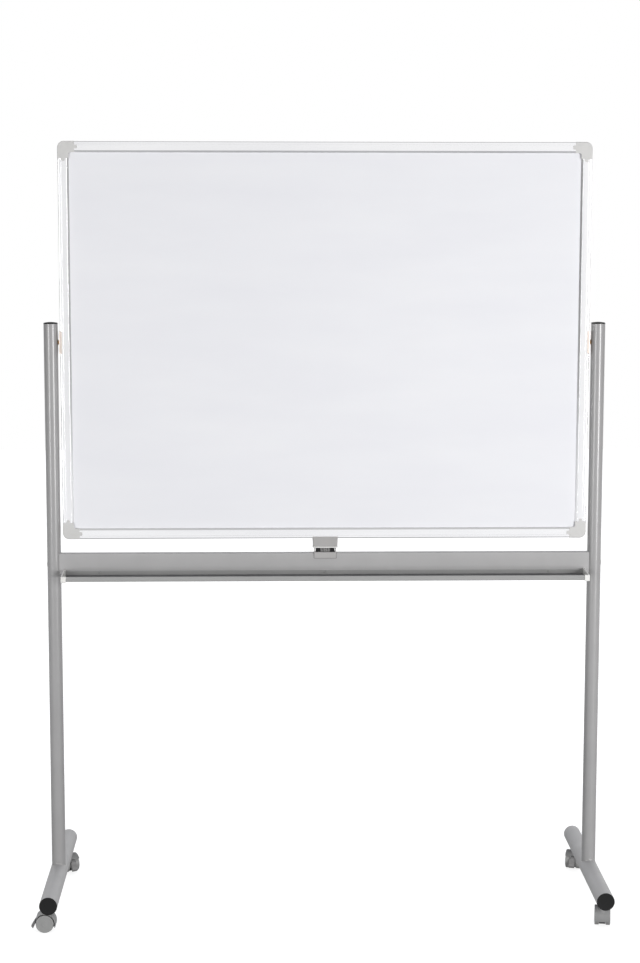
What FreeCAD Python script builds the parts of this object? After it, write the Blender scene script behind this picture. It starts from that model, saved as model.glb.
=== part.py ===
import FreeCAD, Part
import math
import os

# Reversible whiteboard on a rolling stand, in millimetres, +Z up.
# The origin lies on the floor midway between the two posts. The board flips about an axis along X,
# straight above the origin, and its front side faces -Y at rest.

# Fits
fit_gap = 0.15
running_gap = 0.3
overrun = 5.0

# How finely the model is drawn: the flat sides of pins and wheels, and the smallest rounding that is an arc
pin_sides = 8
nut_sides = 6
wheel_sides = 34
hood_steps = 12
smallest_arc = 3.0

# Board panel
board_width = 1200.0
board_height = 900.0
pivot_height = 1305.0
core_thickness = 11.0
sheet_thickness = 0.5
panel_play = 0.5

# Frame rails
rail_face = 25.0
rail_depth = 22.0
rail_wall = 1.4
rail_edge_radius = 3.0
rail_groove_offset = 7.0
rail_groove_width = 1.0
rail_groove_depth = 0.7
rail_bevel_width = 4.5
rail_bevel_drop = 2.6
rail_crest_radius = 1.5
rail_seat = 10.0

# Corner caps
cap_leg = 38.0
cap_proud = 0.8
cap_outer_radius = 15.0
cap_inner_radius = 5.0
cap_nib_length = 6.5
cap_nib_width = 8.5
cap_nib_radius = 2.8
cap_plug_length = 20.0

# Pivot hardware between the side rails and the posts
side_gap = 5.5
plate_height = 50.0
plate_thickness = 2.0
plate_flange_width = 4.5
plate_flange_thickness = 1.2
plate_edge_radius = 1.5
plate_screw_spacing = 32.0
plate_screw_radius = 1.5
plate_screw_head_radius = 3.0
plate_screw_head_height = 1.6
plate_screw_length = 8.0
pivot_bolt_radius = 3.0
pivot_head_radius = 5.0
pivot_head_height = 3.0
pivot_nut_across = 10.0
pivot_nut_height = 5.0
pivot_bolt_tail = 2.0
spacer_radius = 5.75

# Posts
post_diameter = 32.0
post_wall = 1.5
post_rise = 42.0
post_cap_rim = 2.0
post_cap_dome = 2.0
post_cap_plug = 14.0

# Crossbar
crossbar_gap = 33.0
crossbar_height = 50.0
crossbar_depth = 20.0
crossbar_wall = 1.5
crossbar_edge_radius = 3.0
insert_length = 30.0
frame_bolt_radius = 4.0
frame_bolt_length = 26.0
frame_bolt_head_radius = 6.5
frame_bolt_head_height = 5.0
access_hole_radius = 7.5

# Pen tray
tray_inset = 5.35
tray_depth = 82.0
tray_sheet = 1.5
tray_flange_height = 9.5
tray_lip_height = 10.0
tray_hem_width = 3.4
tray_hem_height = 2.8
tray_bend_radius = 2.0
tray_cap_plate = 3.5
tray_cap_sleeve = 7.5
tray_cap_wall = 1.5
tray_cap_above = 0.8
tray_cap_below = 2.4
tray_cap_back_rise = 2.3
tray_cap_radius = 3.0
tray_screw_inset = 78.65
tray_screw_height = 5.8
tray_screw_radius = 1.7
tray_screw_head_radius = 2.8
tray_screw_head_height = 2.0
tray_screw_length = 8.0

# Latch between the bottom rail and the crossbar
housing_width = 58.4
housing_drop = 21.0
housing_wall = 2.0
housing_overlap = 4.5
housing_edge_radius = 2.0
housing_band_height = 4.0
housing_band_proud = 0.8
housing_band_inset = 0.5
housing_screw_radius = 1.5
housing_screw_head_radius = 2.4
housing_screw_head_height = 1.6
housing_screw_bite = 5.0
slider_width = 43.0
slider_depth = 14.0
slider_guide = 9.0
slider_travel = 8.0
slider_play = 0.4
tongue_width = 18.4
tongue_depth = 7.2
tongue_reach = 5.4
grip_width = 22.0
grip_rise = 3.8
grip_groove_radius = 0.9
grip_groove_pitch = 3.6
grip_groove_count = 5
grip_groove_sides = 4
spring_radius = 4.0
spring_wall = 0.8
spring_pocket = 8.0
keeper_width = 50.0
keeper_wall = 2.0
keeper_top = 1.6
keeper_flange = 12.0
keeper_edge_radius = 1.5
ear_thickness = 2.4
ear_depth = 16.0
ear_clearance = 1.2
ear_radius = 2.8
keeper_screw_spacing = 30.0
keeper_screw_radius = 1.5
keeper_screw_head_radius = 2.8
keeper_screw_head_height = 1.8
keeper_screw_length = 7.0

# Feet
foot_diameter = 40.0
foot_wall = 1.5
foot_length = 512.0
foot_cap_rim = 2.0
foot_cap_plug = 12.0
weld_gap = 0.1
caster_inset = 41.0

# Casters
wheel_diameter = 40.0
wheel_width = 10.0
wheel_spacing = 15.0
caster_height = 50.0
caster_trail = 11.0
hood_gap = 1.2
hood_wall = 3.3
hood_front_deg = 200.0
hood_back_deg = 38.0
web_gap = 0.4
web_drop = 13.0
web_toe = 8.0
web_back = 17.8
web_back_height = 4.0
axle_radius = 2.5
axle_inset = 3.5
stem_radius = 4.0
stem_length = 28.0
stem_collar_radius = 7.5
stem_collar_height = 2.4
stem_seat_depth = 16.0
boss_radius = 7.0
boss_gap = 0.7
weld_nut_radius = 7.5
weld_nut_height = 7.2
pedal_pin_radius = 1.5
pedal_pin_x = 14.0
pedal_pin_z = 8.0
pedal_arm_width = 8.0
pedal_pad_width = 13.6
pedal_slot_start = 7.5
pedal_pad_start = 22.4

# Brake pedal's shoulder, tip, toe and heel, out and up from the axle as shares of the hood's radius
pedal_shares = ((0.90, 0.34), (1.28, -0.30), (1.11, -0.53), (0.91, -0.12))

# Which way each caster trails at rest, in degrees from +X about +Z
caster_heading_deg = {
    "front_left": 180.0,
    "front_right": 82.0,
    "back_left": -59.0,
    "back_right": -108.0,
}

# Values worked out from the ones above
half_width = board_width / 2
half_height = board_height / 2
board_bottom = pivot_height - half_height
board_top = pivot_height + half_height
panel_thickness = core_thickness + 2 * sheet_thickness
seat_half = panel_thickness / 2 + fit_gap
rail_half = rail_depth / 2
cap_half = rail_half + cap_proud
post_radius = post_diameter / 2
post_bore = post_radius - post_wall
post_x = half_width + side_gap + post_radius
post_top = pivot_height + post_rise
crossbar_top = board_bottom - crossbar_gap
crossbar_bottom = crossbar_top - crossbar_height
crossbar_middle = crossbar_top - crossbar_height / 2
crossbar_half = crossbar_depth / 2
tray_length = board_width - 2 * tray_inset
tray_screw_spacing = tray_length / 2 - tray_screw_inset
foot_radius = foot_diameter / 2
foot_bore = foot_radius - foot_wall
foot_axis_height = caster_height + foot_radius
caster_span = foot_length - 2 * caster_inset
wheel_radius = wheel_diameter / 2
wheel_inner = wheel_spacing / 2
wheel_outer = wheel_inner + wheel_width
hood_bore = wheel_radius + hood_gap
hood_radius = hood_bore + hood_wall
web_half = wheel_inner - web_gap
stem_collar_top = caster_height - fit_gap
boss_top = stem_collar_top - stem_collar_height - boss_gap
housing_bottom = board_bottom - housing_drop
housing_half_width = housing_width / 2
housing_half = rail_half + housing_wall
keeper_top_z = crossbar_top + fit_gap + keeper_top
slider_bottom = keeper_top_z + slider_play
slider_top = housing_bottom + slider_guide
slider_half_width = slider_width / 2
housing_ceiling = slider_top + slider_travel + slider_play

ORIGIN = FreeCAD.Vector(0, 0, 0)
ALONG_X = FreeCAD.Vector(1, 0, 0)
ALONG_Y = FreeCAD.Vector(0, 1, 0)
UP = FreeCAD.Vector(0, 0, 1)


def point(x, y, z):
    """Point in the part's frame."""
    return FreeCAD.Vector(x, y, z)


def block(x, y, z):
    """Box between the low and high value given for each axis."""
    return Part.makeBox(x[1] - x[0], y[1] - y[0], z[1] - z[0], point(x[0], y[0], z[0]))


def rod(start, end, radius):
    """Solid cylinder from one point to another."""
    run = end - start
    return Part.makeCylinder(radius, run.Length, start, run)


def outline(corners, place):
    """Closed wire through corners of (u, v, rounding), each put in space by place(u, v).

    A rounding is an arc, or one flat between the arc's ends where it is under the smallest arc.
    """
    flat = [FreeCAD.Vector(u, v, 0) for u, v, _ in corners]
    edges = []
    stops = []
    for i, (_, _, rounding) in enumerate(corners):
        here = flat[i]
        back = (flat[i - 1] - here).normalize()
        onward = (flat[(i + 1) % len(flat)] - here).normalize()
        half = back.getAngle(onward) / 2
        reach = rounding / math.tan(half)
        start = here + back * reach
        stop = here + onward * reach
        if rounding >= smallest_arc:
            middle = here + (back + onward).normalize() * (rounding / math.sin(half) - rounding)
            ends = [place(p.x, p.y) for p in (start, middle, stop)]
            edges.append(Part.Arc(*ends).toShape())
        elif rounding:
            edges.append(Part.LineSegment(place(start.x, start.y), place(stop.x, stop.y)).toShape())
        stops.append((start, stop))
    for i, (_, stop) in enumerate(stops):
        start = stops[(i + 1) % len(stops)][0]
        edges.append(Part.LineSegment(place(stop.x, stop.y), place(start.x, start.y)).toShape())
    return Part.Wire(Part.__sortEdges__(edges))


def prism(corners, place, sweep):
    """Solid swept straight from a flat outline."""
    return Part.Face(outline(corners, place)).extrude(sweep)


def regular_bar(start, end, radius, sides):
    """Bar from one point to another whose section is a regular polygon with its corners at radius."""
    run = end - start
    facing = FreeCAD.Rotation(UP, run)
    turns = [2 * math.pi * i / sides for i in range(sides)]
    corners = [(radius * math.cos(turn), radius * math.sin(turn), 0) for turn in turns]
    return prism(corners, lambda u, v: start + facing.multVec(point(u, v, 0)), run)


def pin(start, end, radius):
    """Flat-sided bar of the small hardware, inside the given radius."""
    return regular_bar(start, end, radius, pin_sides)


def hole(start, end, radius):
    """Flat-sided space for a pin, wide enough all round for a bar of the given radius."""
    return regular_bar(start, end, radius / math.cos(math.pi / pin_sides), pin_sides)


def mirrored(shape):
    """The same shape on the other side of the middle plane X = 0."""
    return shape.mirror(ORIGIN, ALONG_X)


def screw(head_seat, inward, head, shank):
    """Headed screw; head and shank are (radius, height), and inward points into the work."""
    solid = pin(head_seat - inward * head[1], head_seat, head[0])
    return solid.fuse(pin(head_seat, head_seat + inward * shank[1], shank[0])).removeSplitter()


# Board panel and frame

def panel_parts():
    """Core board with a writing sheet on each side."""
    reach_x = half_width - rail_seat - panel_play
    reach_z = half_height - rail_seat - panel_play
    across = (-reach_x, reach_x)
    tall = (pivot_height - reach_z, pivot_height + reach_z)
    core_half = core_thickness / 2
    skin = core_half + sheet_thickness
    return {
        "board_core": block(across, (-core_half, core_half), tall),
        "front_writing_sheet": block(across, (-skin, -core_half), tall),
        "back_writing_sheet": block(across, (core_half, skin), tall),
    }


def rail_bar(place, sweep):
    """Hollow frame rail: u runs in from its outer side and v through the board's depth."""
    groove_in = rail_groove_offset + rail_groove_width
    groove_floor = rail_half - rail_groove_depth
    bevel_start = rail_face - rail_bevel_width
    lip = rail_half - rail_bevel_drop
    side = [
        (0, rail_half, rail_edge_radius),
        (rail_groove_offset, rail_half, 0),
        (rail_groove_offset, groove_floor, 0),
        (groove_in, groove_floor, 0),
        (groove_in, rail_half, 0),
        (bevel_start, rail_half, rail_crest_radius),
        (rail_face, lip, 0),
        (rail_face, seat_half, 0),
        (rail_seat, seat_half, 0),
    ]
    chamber_v = rail_half - rail_wall
    channel_v = seat_half + rail_wall
    inner_u = rail_seat - rail_wall
    hollow_side = [
        (rail_wall, chamber_v, 0),
        (bevel_start, chamber_v, 0),
        (bevel_start, channel_v, 0),
        (inner_u, channel_v, 0),
    ]
    bar, hollow = (
        prism(half + [(u, -v, r) for u, v, r in reversed(half)], place, sweep)
        for half in (side, hollow_side)
    )
    return bar.cut(hollow)


def rail_parts():
    """The four frame rails, cut square where they meet the corner caps."""
    left_end = -half_width + cap_leg
    low_end = board_bottom + cap_leg
    run_x = ALONG_X * (board_width - 2 * cap_leg)
    run_z = UP * (board_height - 2 * cap_leg)
    bottom = rail_bar(lambda u, v: point(left_end, v, board_bottom + u), run_x)
    top = rail_bar(lambda u, v: point(left_end, v, board_top - u), run_x)
    right = rail_bar(lambda u, v: point(half_width - u, v, low_end), run_z)
    for x in (-housing_screw_x(), housing_screw_x()):
        below = point(x, 0, board_bottom - overrun)
        hole_end = point(x, 0, board_bottom + rail_wall + overrun)
        bottom = bottom.cut(hole(below, hole_end, housing_screw_radius + fit_gap))
    chamber = half_width - rail_wall - overrun / 2
    outside = half_width + overrun
    pivot_bore = pivot_bolt_radius + running_gap
    right = right.cut(hole(point(chamber, 0, pivot_height), point(outside, 0, pivot_height), pivot_bore))
    for z in plate_screw_heights():
        right = right.cut(hole(point(chamber, 0, z), point(outside, 0, z), plate_screw_radius + fit_gap))
    return {
        "frame_rail_bottom": bottom,
        "frame_rail_top": top,
        "frame_rail_right": right,
        "frame_rail_left": mirrored(right),
    }


def corner_cap():
    """Moulded cap of the top right corner, with a plug in each rail and a nib over each rail's crest."""

    def place_at(y):
        return lambda u, w: point(half_width - u, y, board_top - w)

    corners = [
        (0, 0, cap_outer_radius),
        (cap_leg, 0, 0),
        (cap_leg, rail_face, 0),
        (rail_face, rail_face, cap_inner_radius),
        (rail_face, cap_leg, 0),
        (0, cap_leg, 0),
    ]
    cap = prism(corners, place_at(-cap_half), ALONG_Y * (2 * cap_half))
    slot = block(
        (half_width - cap_leg - overrun, half_width - rail_seat),
        (-seat_half, seat_half),
        (board_top - cap_leg - overrun, board_top - rail_seat),
    )
    cap = cap.cut(slot)
    crest_middle = rail_face / 2
    low = crest_middle - cap_nib_width / 2
    high = crest_middle + cap_nib_width / 2
    root = cap_leg - overrun
    tip = cap_leg + cap_nib_length
    nib = [(root, low, 0), (tip, low, cap_nib_radius), (tip, high, cap_nib_radius), (root, high, 0)]
    plug_half = rail_half - rail_wall - fit_gap
    plug_low = rail_wall + fit_gap
    plug_high = rail_seat - rail_wall - fit_gap
    plug_end = cap_leg + cap_plug_length
    plug = [(root, plug_low, 0), (plug_end, plug_low, 0), (plug_end, plug_high, 0), (root, plug_high, 0)]
    for swap in (False, True):
        arm_nib = [(v, u, r) if swap else (u, v, r) for u, v, r in nib]
        arm_plug = [(v, u, r) if swap else (u, v, r) for u, v, r in plug]
        cap = cap.fuse(prism(arm_plug, place_at(-plug_half), ALONG_Y * (2 * plug_half)))
        for y in (-cap_half, rail_half):
            cap = cap.fuse(prism(arm_nib, place_at(y), ALONG_Y * cap_proud))
    return cap.removeSplitter()


def corner_parts():
    """The corner caps, all four from one mould."""
    cap = corner_cap()
    low_cap = cap.mirror(point(0, 0, pivot_height), UP)
    return {
        "corner_cap_top_right": cap,
        "corner_cap_top_left": mirrored(cap),
        "corner_cap_bottom_right": low_cap,
        "corner_cap_bottom_left": mirrored(low_cap),
    }


# Pivot

def plate_screw_heights():
    """Heights of the two screws of a pivot plate."""
    return (pivot_height - plate_screw_spacing / 2, pivot_height + plate_screw_spacing / 2)


def pivot_plate():
    """Right pivot plate: a pressed channel that grips the side rail's outer edges."""
    flange_tip = half_width - plate_flange_width
    outer = rail_half + plate_flange_thickness
    face = half_width + plate_thickness
    corners = [
        (flange_tip, -outer, 0),
        (face, -outer, plate_edge_radius),
        (face, outer, plate_edge_radius),
        (flange_tip, outer, 0),
        (flange_tip, rail_half, 0),
        (half_width, rail_half, 0),
        (half_width, -rail_half, 0),
        (flange_tip, -rail_half, 0),
    ]
    low = pivot_height - plate_height / 2
    plate = prism(corners, lambda u, v: point(u, v, low), UP * plate_height)
    inside = half_width - overrun
    outside = face + overrun
    for z in plate_screw_heights():
        plate = plate.cut(hole(point(inside, 0, z), point(outside, 0, z), plate_screw_radius + fit_gap))
    bore = pivot_bolt_radius + running_gap
    return plate.cut(hole(point(inside, 0, pivot_height), point(outside, 0, pivot_height), bore))


def pivot_parts():
    """Plates and screws on the board, bolts, nuts and spacers on the posts."""
    plate = pivot_plate()
    plate_face = half_width + plate_thickness
    head = (plate_screw_head_radius, plate_screw_head_height)
    shank = (plate_screw_radius, plate_screw_length)
    screws = [screw(point(plate_face, 0, z), -ALONG_X, head, shank) for z in plate_screw_heights()]

    def on_axis(x):
        return point(x, 0, pivot_height)

    head_seat = half_width - rail_wall - running_gap / 2
    nut_radius = pivot_nut_across / 2 / math.cos(math.pi / nut_sides)
    nut_start = post_x - math.sqrt(post_bore**2 - nut_radius**2) + fit_gap
    nut_end = nut_start + pivot_nut_height
    bolt_end = nut_end + pivot_bolt_tail
    bolt_shank = (pivot_bolt_radius, bolt_end - head_seat)
    bolt = screw(on_axis(head_seat), ALONG_X, (pivot_head_radius, pivot_head_height), bolt_shank)
    bolt_hole = hole(on_axis(half_width), on_axis(bolt_end), pivot_bolt_radius + fit_gap)
    nut = regular_bar(on_axis(nut_start), on_axis(nut_end), nut_radius, nut_sides).cut(bolt_hole)
    near = plate_face + running_gap / 2
    far = half_width + side_gap - fit_gap
    spacer = pin(on_axis(near), on_axis(far), spacer_radius).cut(bolt_hole)
    return {
        "pivot_plate_right": plate,
        "pivot_plate_left": mirrored(plate),
        "pivot_plate_screws": Part.makeCompound(screws + [mirrored(s) for s in screws]),
        "pivot_bolts": Part.makeCompound([bolt, mirrored(bolt)]),
        "pivot_nuts": Part.makeCompound([nut, mirrored(nut)]),
        "pivot_spacers": Part.makeCompound([spacer, mirrored(spacer)]),
    }


# Stand

def post_column(radius):
    """Upright cylinder on the right post's axis, from the foot's axis to the post's top."""
    return rod(point(post_x, 0, foot_axis_height), point(post_x, 0, post_top), radius)


def foot_bar(radius, length):
    """Level cylinder on the right foot's axis, centred under the post."""
    front = point(post_x, -length / 2, foot_axis_height)
    return rod(front, point(post_x, length / 2, foot_axis_height), radius)


def post():
    """Right post: a plain tube, coped over the foot, with holes for the pivot and for the frame bolt."""
    tube = post_column(post_radius).cut(post_column(post_bore))
    tube = tube.cut(foot_bar(foot_radius + weld_gap, 2 * foot_diameter))
    inner_face = post_x - post_radius - overrun
    outer_face = post_x + post_radius + overrun
    pivot_bore = pivot_bolt_radius + fit_gap
    tube = tube.cut(hole(point(inner_face, 0, pivot_height), point(post_x, 0, pivot_height), pivot_bore))
    middle = point(post_x, 0, crossbar_middle)
    tube = tube.cut(hole(point(inner_face, 0, crossbar_middle), middle, frame_bolt_radius + fit_gap))
    return tube.cut(hole(middle, point(outer_face, 0, crossbar_middle), access_hole_radius))


def post_cap():
    """Black domed plug in the top of the right post."""
    crown = post_top + post_cap_rim + post_cap_dome
    dome_radius = (post_radius**2 + post_cap_dome**2) / (2 * post_cap_dome)
    dome = Part.makeSphere(dome_radius, point(post_x, 0, crown - dome_radius))
    seat = point(post_x, 0, post_top)
    cap = rod(seat, point(post_x, 0, crown), post_radius).common(dome)
    return cap.fuse(pin(seat - UP * post_cap_plug, seat, post_bore - fit_gap)).removeSplitter()


def caster_places():
    """Name, X and Y of each caster's stem."""
    reach = caster_span / 2
    for end, y in (("front", -reach), ("back", reach)):
        for side, x in (("left", -post_x), ("right", post_x)):
            yield end + "_" + side, x, y


def foot():
    """Right foot: a tube with a nut welded in over each caster."""
    tube = foot_bar(foot_radius, foot_length)
    hollow = foot_bar(foot_bore, foot_length + overrun)
    nut_high = caster_height + foot_wall + weld_nut_height
    for y in (-caster_span / 2, caster_span / 2):
        nut_top = point(post_x, y, nut_high)
        hollow = hollow.cut(regular_bar(point(post_x, y, 0), nut_top, weld_nut_radius, nut_sides))
    tube = tube.cut(hollow)
    for y in (-caster_span / 2, caster_span / 2):
        hole_top = point(post_x, y, nut_high + overrun)
        tube = tube.cut(hole(point(post_x, y, 0), hole_top, stem_radius + fit_gap))
    return tube


def foot_cap(way):
    """Black end plug of the right foot; way is -1 at the front and 1 at the back."""

    def on_axis(reach):
        return point(post_x, way * reach, foot_axis_height)

    seat = foot_length / 2
    disc = rod(on_axis(seat), on_axis(seat + foot_cap_rim), foot_radius)
    plug = pin(on_axis(seat - foot_cap_plug), on_axis(seat), foot_bore - fit_gap)
    return disc.fuse(plug).removeSplitter()


def post_and_foot_parts():
    """Both posts, both feet and the plugs in their ends."""
    right_post = post()
    right_cap = post_cap()
    right_foot = foot()
    front_cap = foot_cap(-1)
    back_cap = foot_cap(1)
    return {
        "post_right": right_post,
        "post_left": mirrored(right_post),
        "post_caps": Part.makeCompound([right_cap, mirrored(right_cap)]),
        "foot_right": right_foot,
        "foot_left": mirrored(right_foot),
        "foot_caps_front": Part.makeCompound([front_cap, mirrored(front_cap)]),
        "foot_caps_back": Part.makeCompound([back_cap, mirrored(back_cap)]),
    }


def rounded_bar(half_depth, half_tall, rounding, x_from, x_to):
    """Bar along X with rounded edges, centred on the crossbar's axis."""
    low = crossbar_middle - half_tall
    high = crossbar_middle + half_tall
    corners = [
        (-half_depth, low, rounding),
        (half_depth, low, rounding),
        (half_depth, high, rounding),
        (-half_depth, high, rounding),
    ]
    return prism(corners, lambda u, v: point(x_from, u, v), ALONG_X * (x_to - x_from))


def crossbar_parts():
    """Crossbar tube coped to the posts, with a threaded insert and a bolt at each end."""
    half_tall = crossbar_height / 2
    bar = rounded_bar(crossbar_half, half_tall, crossbar_edge_radius, -post_x, post_x)
    inner_half = crossbar_half - crossbar_wall
    inner_tall = half_tall - crossbar_wall
    bar = bar.cut(rounded_bar(inner_half, inner_tall, 0, -post_x - overrun, post_x + overrun))
    saddle = post_column(post_radius + fit_gap)
    bar = bar.cut(saddle).cut(mirrored(saddle))
    bar = bar.cut(keeper_slot())
    screw_bore = tray_screw_radius + fit_gap
    for x in tray_screw_places():
        hole_end = point(x, -inner_half + overrun, tray_screw_z())
        bar = bar.cut(hole(point(x, -crossbar_half - overrun, tray_screw_z()), hole_end, screw_bore))
    for x in keeper_screw_places():
        inside = point(x, inner_half - overrun, keeper_screw_z())
        hole_end = point(x, crossbar_half + overrun, keeper_screw_z())
        bar = bar.cut(hole(inside, hole_end, keeper_screw_radius + fit_gap))
    insert_end = post_x - post_radius - fit_gap
    insert_start = insert_end - insert_length
    insert = rounded_bar(inner_half - fit_gap, inner_tall - fit_gap, 0, insert_start, insert_end)
    head_reach = math.sqrt(post_bore**2 - frame_bolt_head_radius**2) - fit_gap
    head_seat = point(post_x - head_reach, 0, crossbar_middle)
    bolt_head = (frame_bolt_head_radius, frame_bolt_head_height)
    bolt = screw(head_seat, -ALONG_X, bolt_head, (frame_bolt_radius, frame_bolt_length))
    thread_start = point(insert_start - overrun, 0, crossbar_middle)
    insert = insert.cut(hole(thread_start, head_seat, frame_bolt_radius + fit_gap))
    return {
        "crossbar": bar,
        "crossbar_inserts": Part.makeCompound([insert, mirrored(insert)]),
        "crossbar_bolts": Part.makeCompound([bolt, mirrored(bolt)]),
    }


# Pen tray

def tray_screw_places():
    """X of each screw that holds the tray to the crossbar."""
    return (-tray_screw_spacing, 0, tray_screw_spacing)


def tray_screw_z():
    """Height of the tray's screws."""
    return crossbar_bottom + tray_screw_height


def tray_parts():
    """Folded tray on the crossbar's front, with a moulded cap at each end and its screws."""
    back = -crossbar_half
    front = back - tray_depth
    floor = crossbar_bottom
    under = floor - tray_sheet
    lip_top = floor + tray_lip_height
    flange_top = floor + tray_flange_height
    inside_bend = tray_bend_radius - tray_sheet
    section = [
        (back, flange_top, 0),
        (back, under, tray_bend_radius),
        (front, under, tray_bend_radius),
        (front, lip_top, 0),
        (front + tray_hem_width, lip_top, 0),
        (front + tray_hem_width, lip_top - tray_hem_height, 0),
        (front + tray_sheet, lip_top - tray_hem_height, 0),
        (front + tray_sheet, floor, inside_bend),
        (back - tray_sheet, floor, inside_bend),
        (back - tray_sheet, flange_top, 0),
    ]
    end = tray_length / 2
    tray = prism(section, lambda u, v: point(-end, u, v), ALONG_X * tray_length)
    head = (tray_screw_head_radius, tray_screw_head_height)
    shank = (tray_screw_radius, tray_screw_length)
    screws = []
    for x in tray_screw_places():
        seat = point(x, back - tray_sheet, tray_screw_z())
        bore = tray_screw_radius + fit_gap
        tray = tray.cut(hole(seat - ALONG_Y * overrun, seat + ALONG_Y * overrun, bore))
        screws.append(screw(seat, ALONG_Y, head, shank))
    return {
        "pen_tray": tray,
        "tray_cap_right": tray_cap(end, front, lip_top, under),
        "tray_cap_left": mirrored(tray_cap(end, front, lip_top, under)),
        "tray_screws": Part.makeCompound(screws),
    }


def tray_cap(end, front, lip_top, under):
    """Right end cap: a plate that closes the tray's end and a sleeve that grips the hem and the lip."""
    back = -crossbar_half - fit_gap
    nose = front - tray_cap_wall
    top = lip_top + tray_cap_above
    bottom = under - tray_cap_below
    plate = [
        (back, bottom, 0),
        (nose, bottom, tray_cap_radius),
        (nose, top, tray_cap_radius),
        (back, top + tray_cap_back_rise, 0),
    ]
    cap = prism(plate, lambda u, v: point(end + fit_gap, u, v), ALONG_X * tray_cap_plate)
    sleeve_back = front + tray_hem_width
    sleeve = [
        (sleeve_back, bottom, 0),
        (nose, bottom, tray_cap_radius),
        (nose, top, tray_cap_radius),
        (sleeve_back, top, 0),
    ]
    sleeve_run = tray_cap_sleeve + fit_gap
    grip = prism(sleeve, lambda u, v: point(end - tray_cap_sleeve, u, v), ALONG_X * sleeve_run)
    grip = grip.cut(
        block(
            (end - tray_cap_sleeve - overrun, end + fit_gap),
            (front - fit_gap, sleeve_back + overrun),
            (under - fit_gap, lip_top + fit_gap),
        )
    )
    return cap.fuse(grip).removeSplitter()


# Latch

def housing_screw_x():
    """Distance of the latch housing's screws from the middle."""
    return (slider_half_width + slider_play + housing_half_width) / 2


def latch_housing_parts():
    """Moulded housing under the bottom rail, open below for the slider, and its two screws."""
    top = board_bottom + housing_overlap
    corners = [
        (-housing_half_width, -housing_half, housing_edge_radius),
        (housing_half_width, -housing_half, housing_edge_radius),
        (housing_half_width, housing_half, housing_edge_radius),
        (-housing_half_width, housing_half, housing_edge_radius),
    ]
    body = prism(corners, lambda u, v: point(u, v, housing_bottom), UP * (top - housing_bottom))
    band_x = housing_half_width - housing_band_inset
    band_y = housing_half + housing_band_proud
    band = [
        (-band_x, -band_y, housing_edge_radius),
        (band_x, -band_y, housing_edge_radius),
        (band_x, band_y, housing_edge_radius),
        (-band_x, band_y, housing_edge_radius),
    ]
    body = body.fuse(prism(band, lambda u, v: point(u, v, housing_bottom), UP * housing_band_height))
    past = housing_half_width + overrun
    body = body.cut(block((-past, past), (-rail_half, rail_half), (board_bottom, top + overrun)))
    cavity_x = slider_half_width + slider_play
    cavity_y = slider_depth / 2 + grip_rise + slider_play
    body = body.cut(
        block((-cavity_x, cavity_x), (-cavity_y, cavity_y), (housing_bottom - overrun, housing_ceiling))
    )
    head = (housing_screw_head_radius, housing_screw_head_height)
    recess = housing_bottom + housing_screw_head_height
    shank = (housing_screw_radius, board_bottom - recess + housing_screw_bite)
    screws = []
    for x in (-housing_screw_x(), housing_screw_x()):
        seat = point(x, 0, recess)
        below = point(x, 0, housing_bottom - overrun)
        body = body.cut(hole(below, seat, housing_screw_head_radius + fit_gap))
        body = body.cut(hole(seat, point(x, 0, board_bottom + overrun), housing_screw_radius + fit_gap))
        screws.append(screw(seat, UP, head, shank))
    return {
        "latch_housing": body.removeSplitter(),
        "latch_housing_screws": Part.makeCompound(screws),
    }


def latch_slider_parts():
    """Black slider with its tongue, the ribbed grips on both its faces and the spring in its top."""
    half_depth = slider_depth / 2
    across = (-slider_half_width, slider_half_width)
    slider = block(across, (-half_depth, half_depth), (slider_bottom, slider_top))
    tongue_tip = crossbar_top - tongue_reach
    tongue_half = tongue_width / 2
    tongue_y = tongue_depth / 2
    tongue = block((-tongue_half, tongue_half), (-tongue_y, tongue_y), (tongue_tip, slider_bottom))
    pocket_floor = slider_top - spring_pocket
    pocket_top = point(0, 0, slider_top + overrun)
    pocket = hole(point(0, 0, pocket_floor), pocket_top, spring_radius + running_gap)
    slider = slider.fuse(tongue).cut(pocket).removeSplitter()
    grip_low = slider_bottom + slider_play
    grip_high = housing_bottom - slider_play
    grip_radius = (grip_width**2 / 4 + grip_rise**2) / (2 * grip_rise)
    arc_middle = half_depth + grip_rise - grip_radius
    grip = rod(point(0, arc_middle, grip_low), point(0, arc_middle, grip_high), grip_radius)
    grip_space = (half_depth, half_depth + grip_rise + overrun)
    grip = grip.common(block((-grip_width, grip_width), grip_space, (grip_low, grip_high)))
    for i in range(grip_groove_count):
        x = (i - (grip_groove_count - 1) / 2) * grip_groove_pitch
        y = arc_middle + math.sqrt(grip_radius**2 - x**2)
        low = point(x, y, grip_low - overrun)
        high = point(x, y, grip_high + overrun)
        grip = grip.cut(regular_bar(low, high, grip_groove_radius, grip_groove_sides))
    back_grip = grip.mirror(ORIGIN, ALONG_Y)
    spring = pin(point(0, 0, pocket_floor), point(0, 0, housing_ceiling), spring_radius)
    coil_low = point(0, 0, pocket_floor - overrun)
    spring = spring.cut(pin(coil_low, point(0, 0, housing_ceiling + overrun), spring_radius - spring_wall))
    return {
        "latch_slider": slider,
        "latch_grips": Part.makeCompound([grip, back_grip]),
        "latch_spring": spring,
    }


def keeper_slot():
    """Space for the slider's tongue, through the keeper's top and the crossbar's upper wall."""
    half_x = tongue_width / 2 + 2 * slider_play
    half_y = tongue_depth / 2 + 2 * slider_play
    low = crossbar_top - crossbar_wall - overrun
    return block((-half_x, half_x), (-half_y, half_y), (low, keeper_top_z + overrun))


def keeper_screw_places():
    """X of the screws through the keeper's back flange."""
    return (-keeper_screw_spacing / 2, keeper_screw_spacing / 2)


def keeper_screw_z():
    """Height of the keeper's screws."""
    return crossbar_top - keeper_flange / 2


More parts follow.
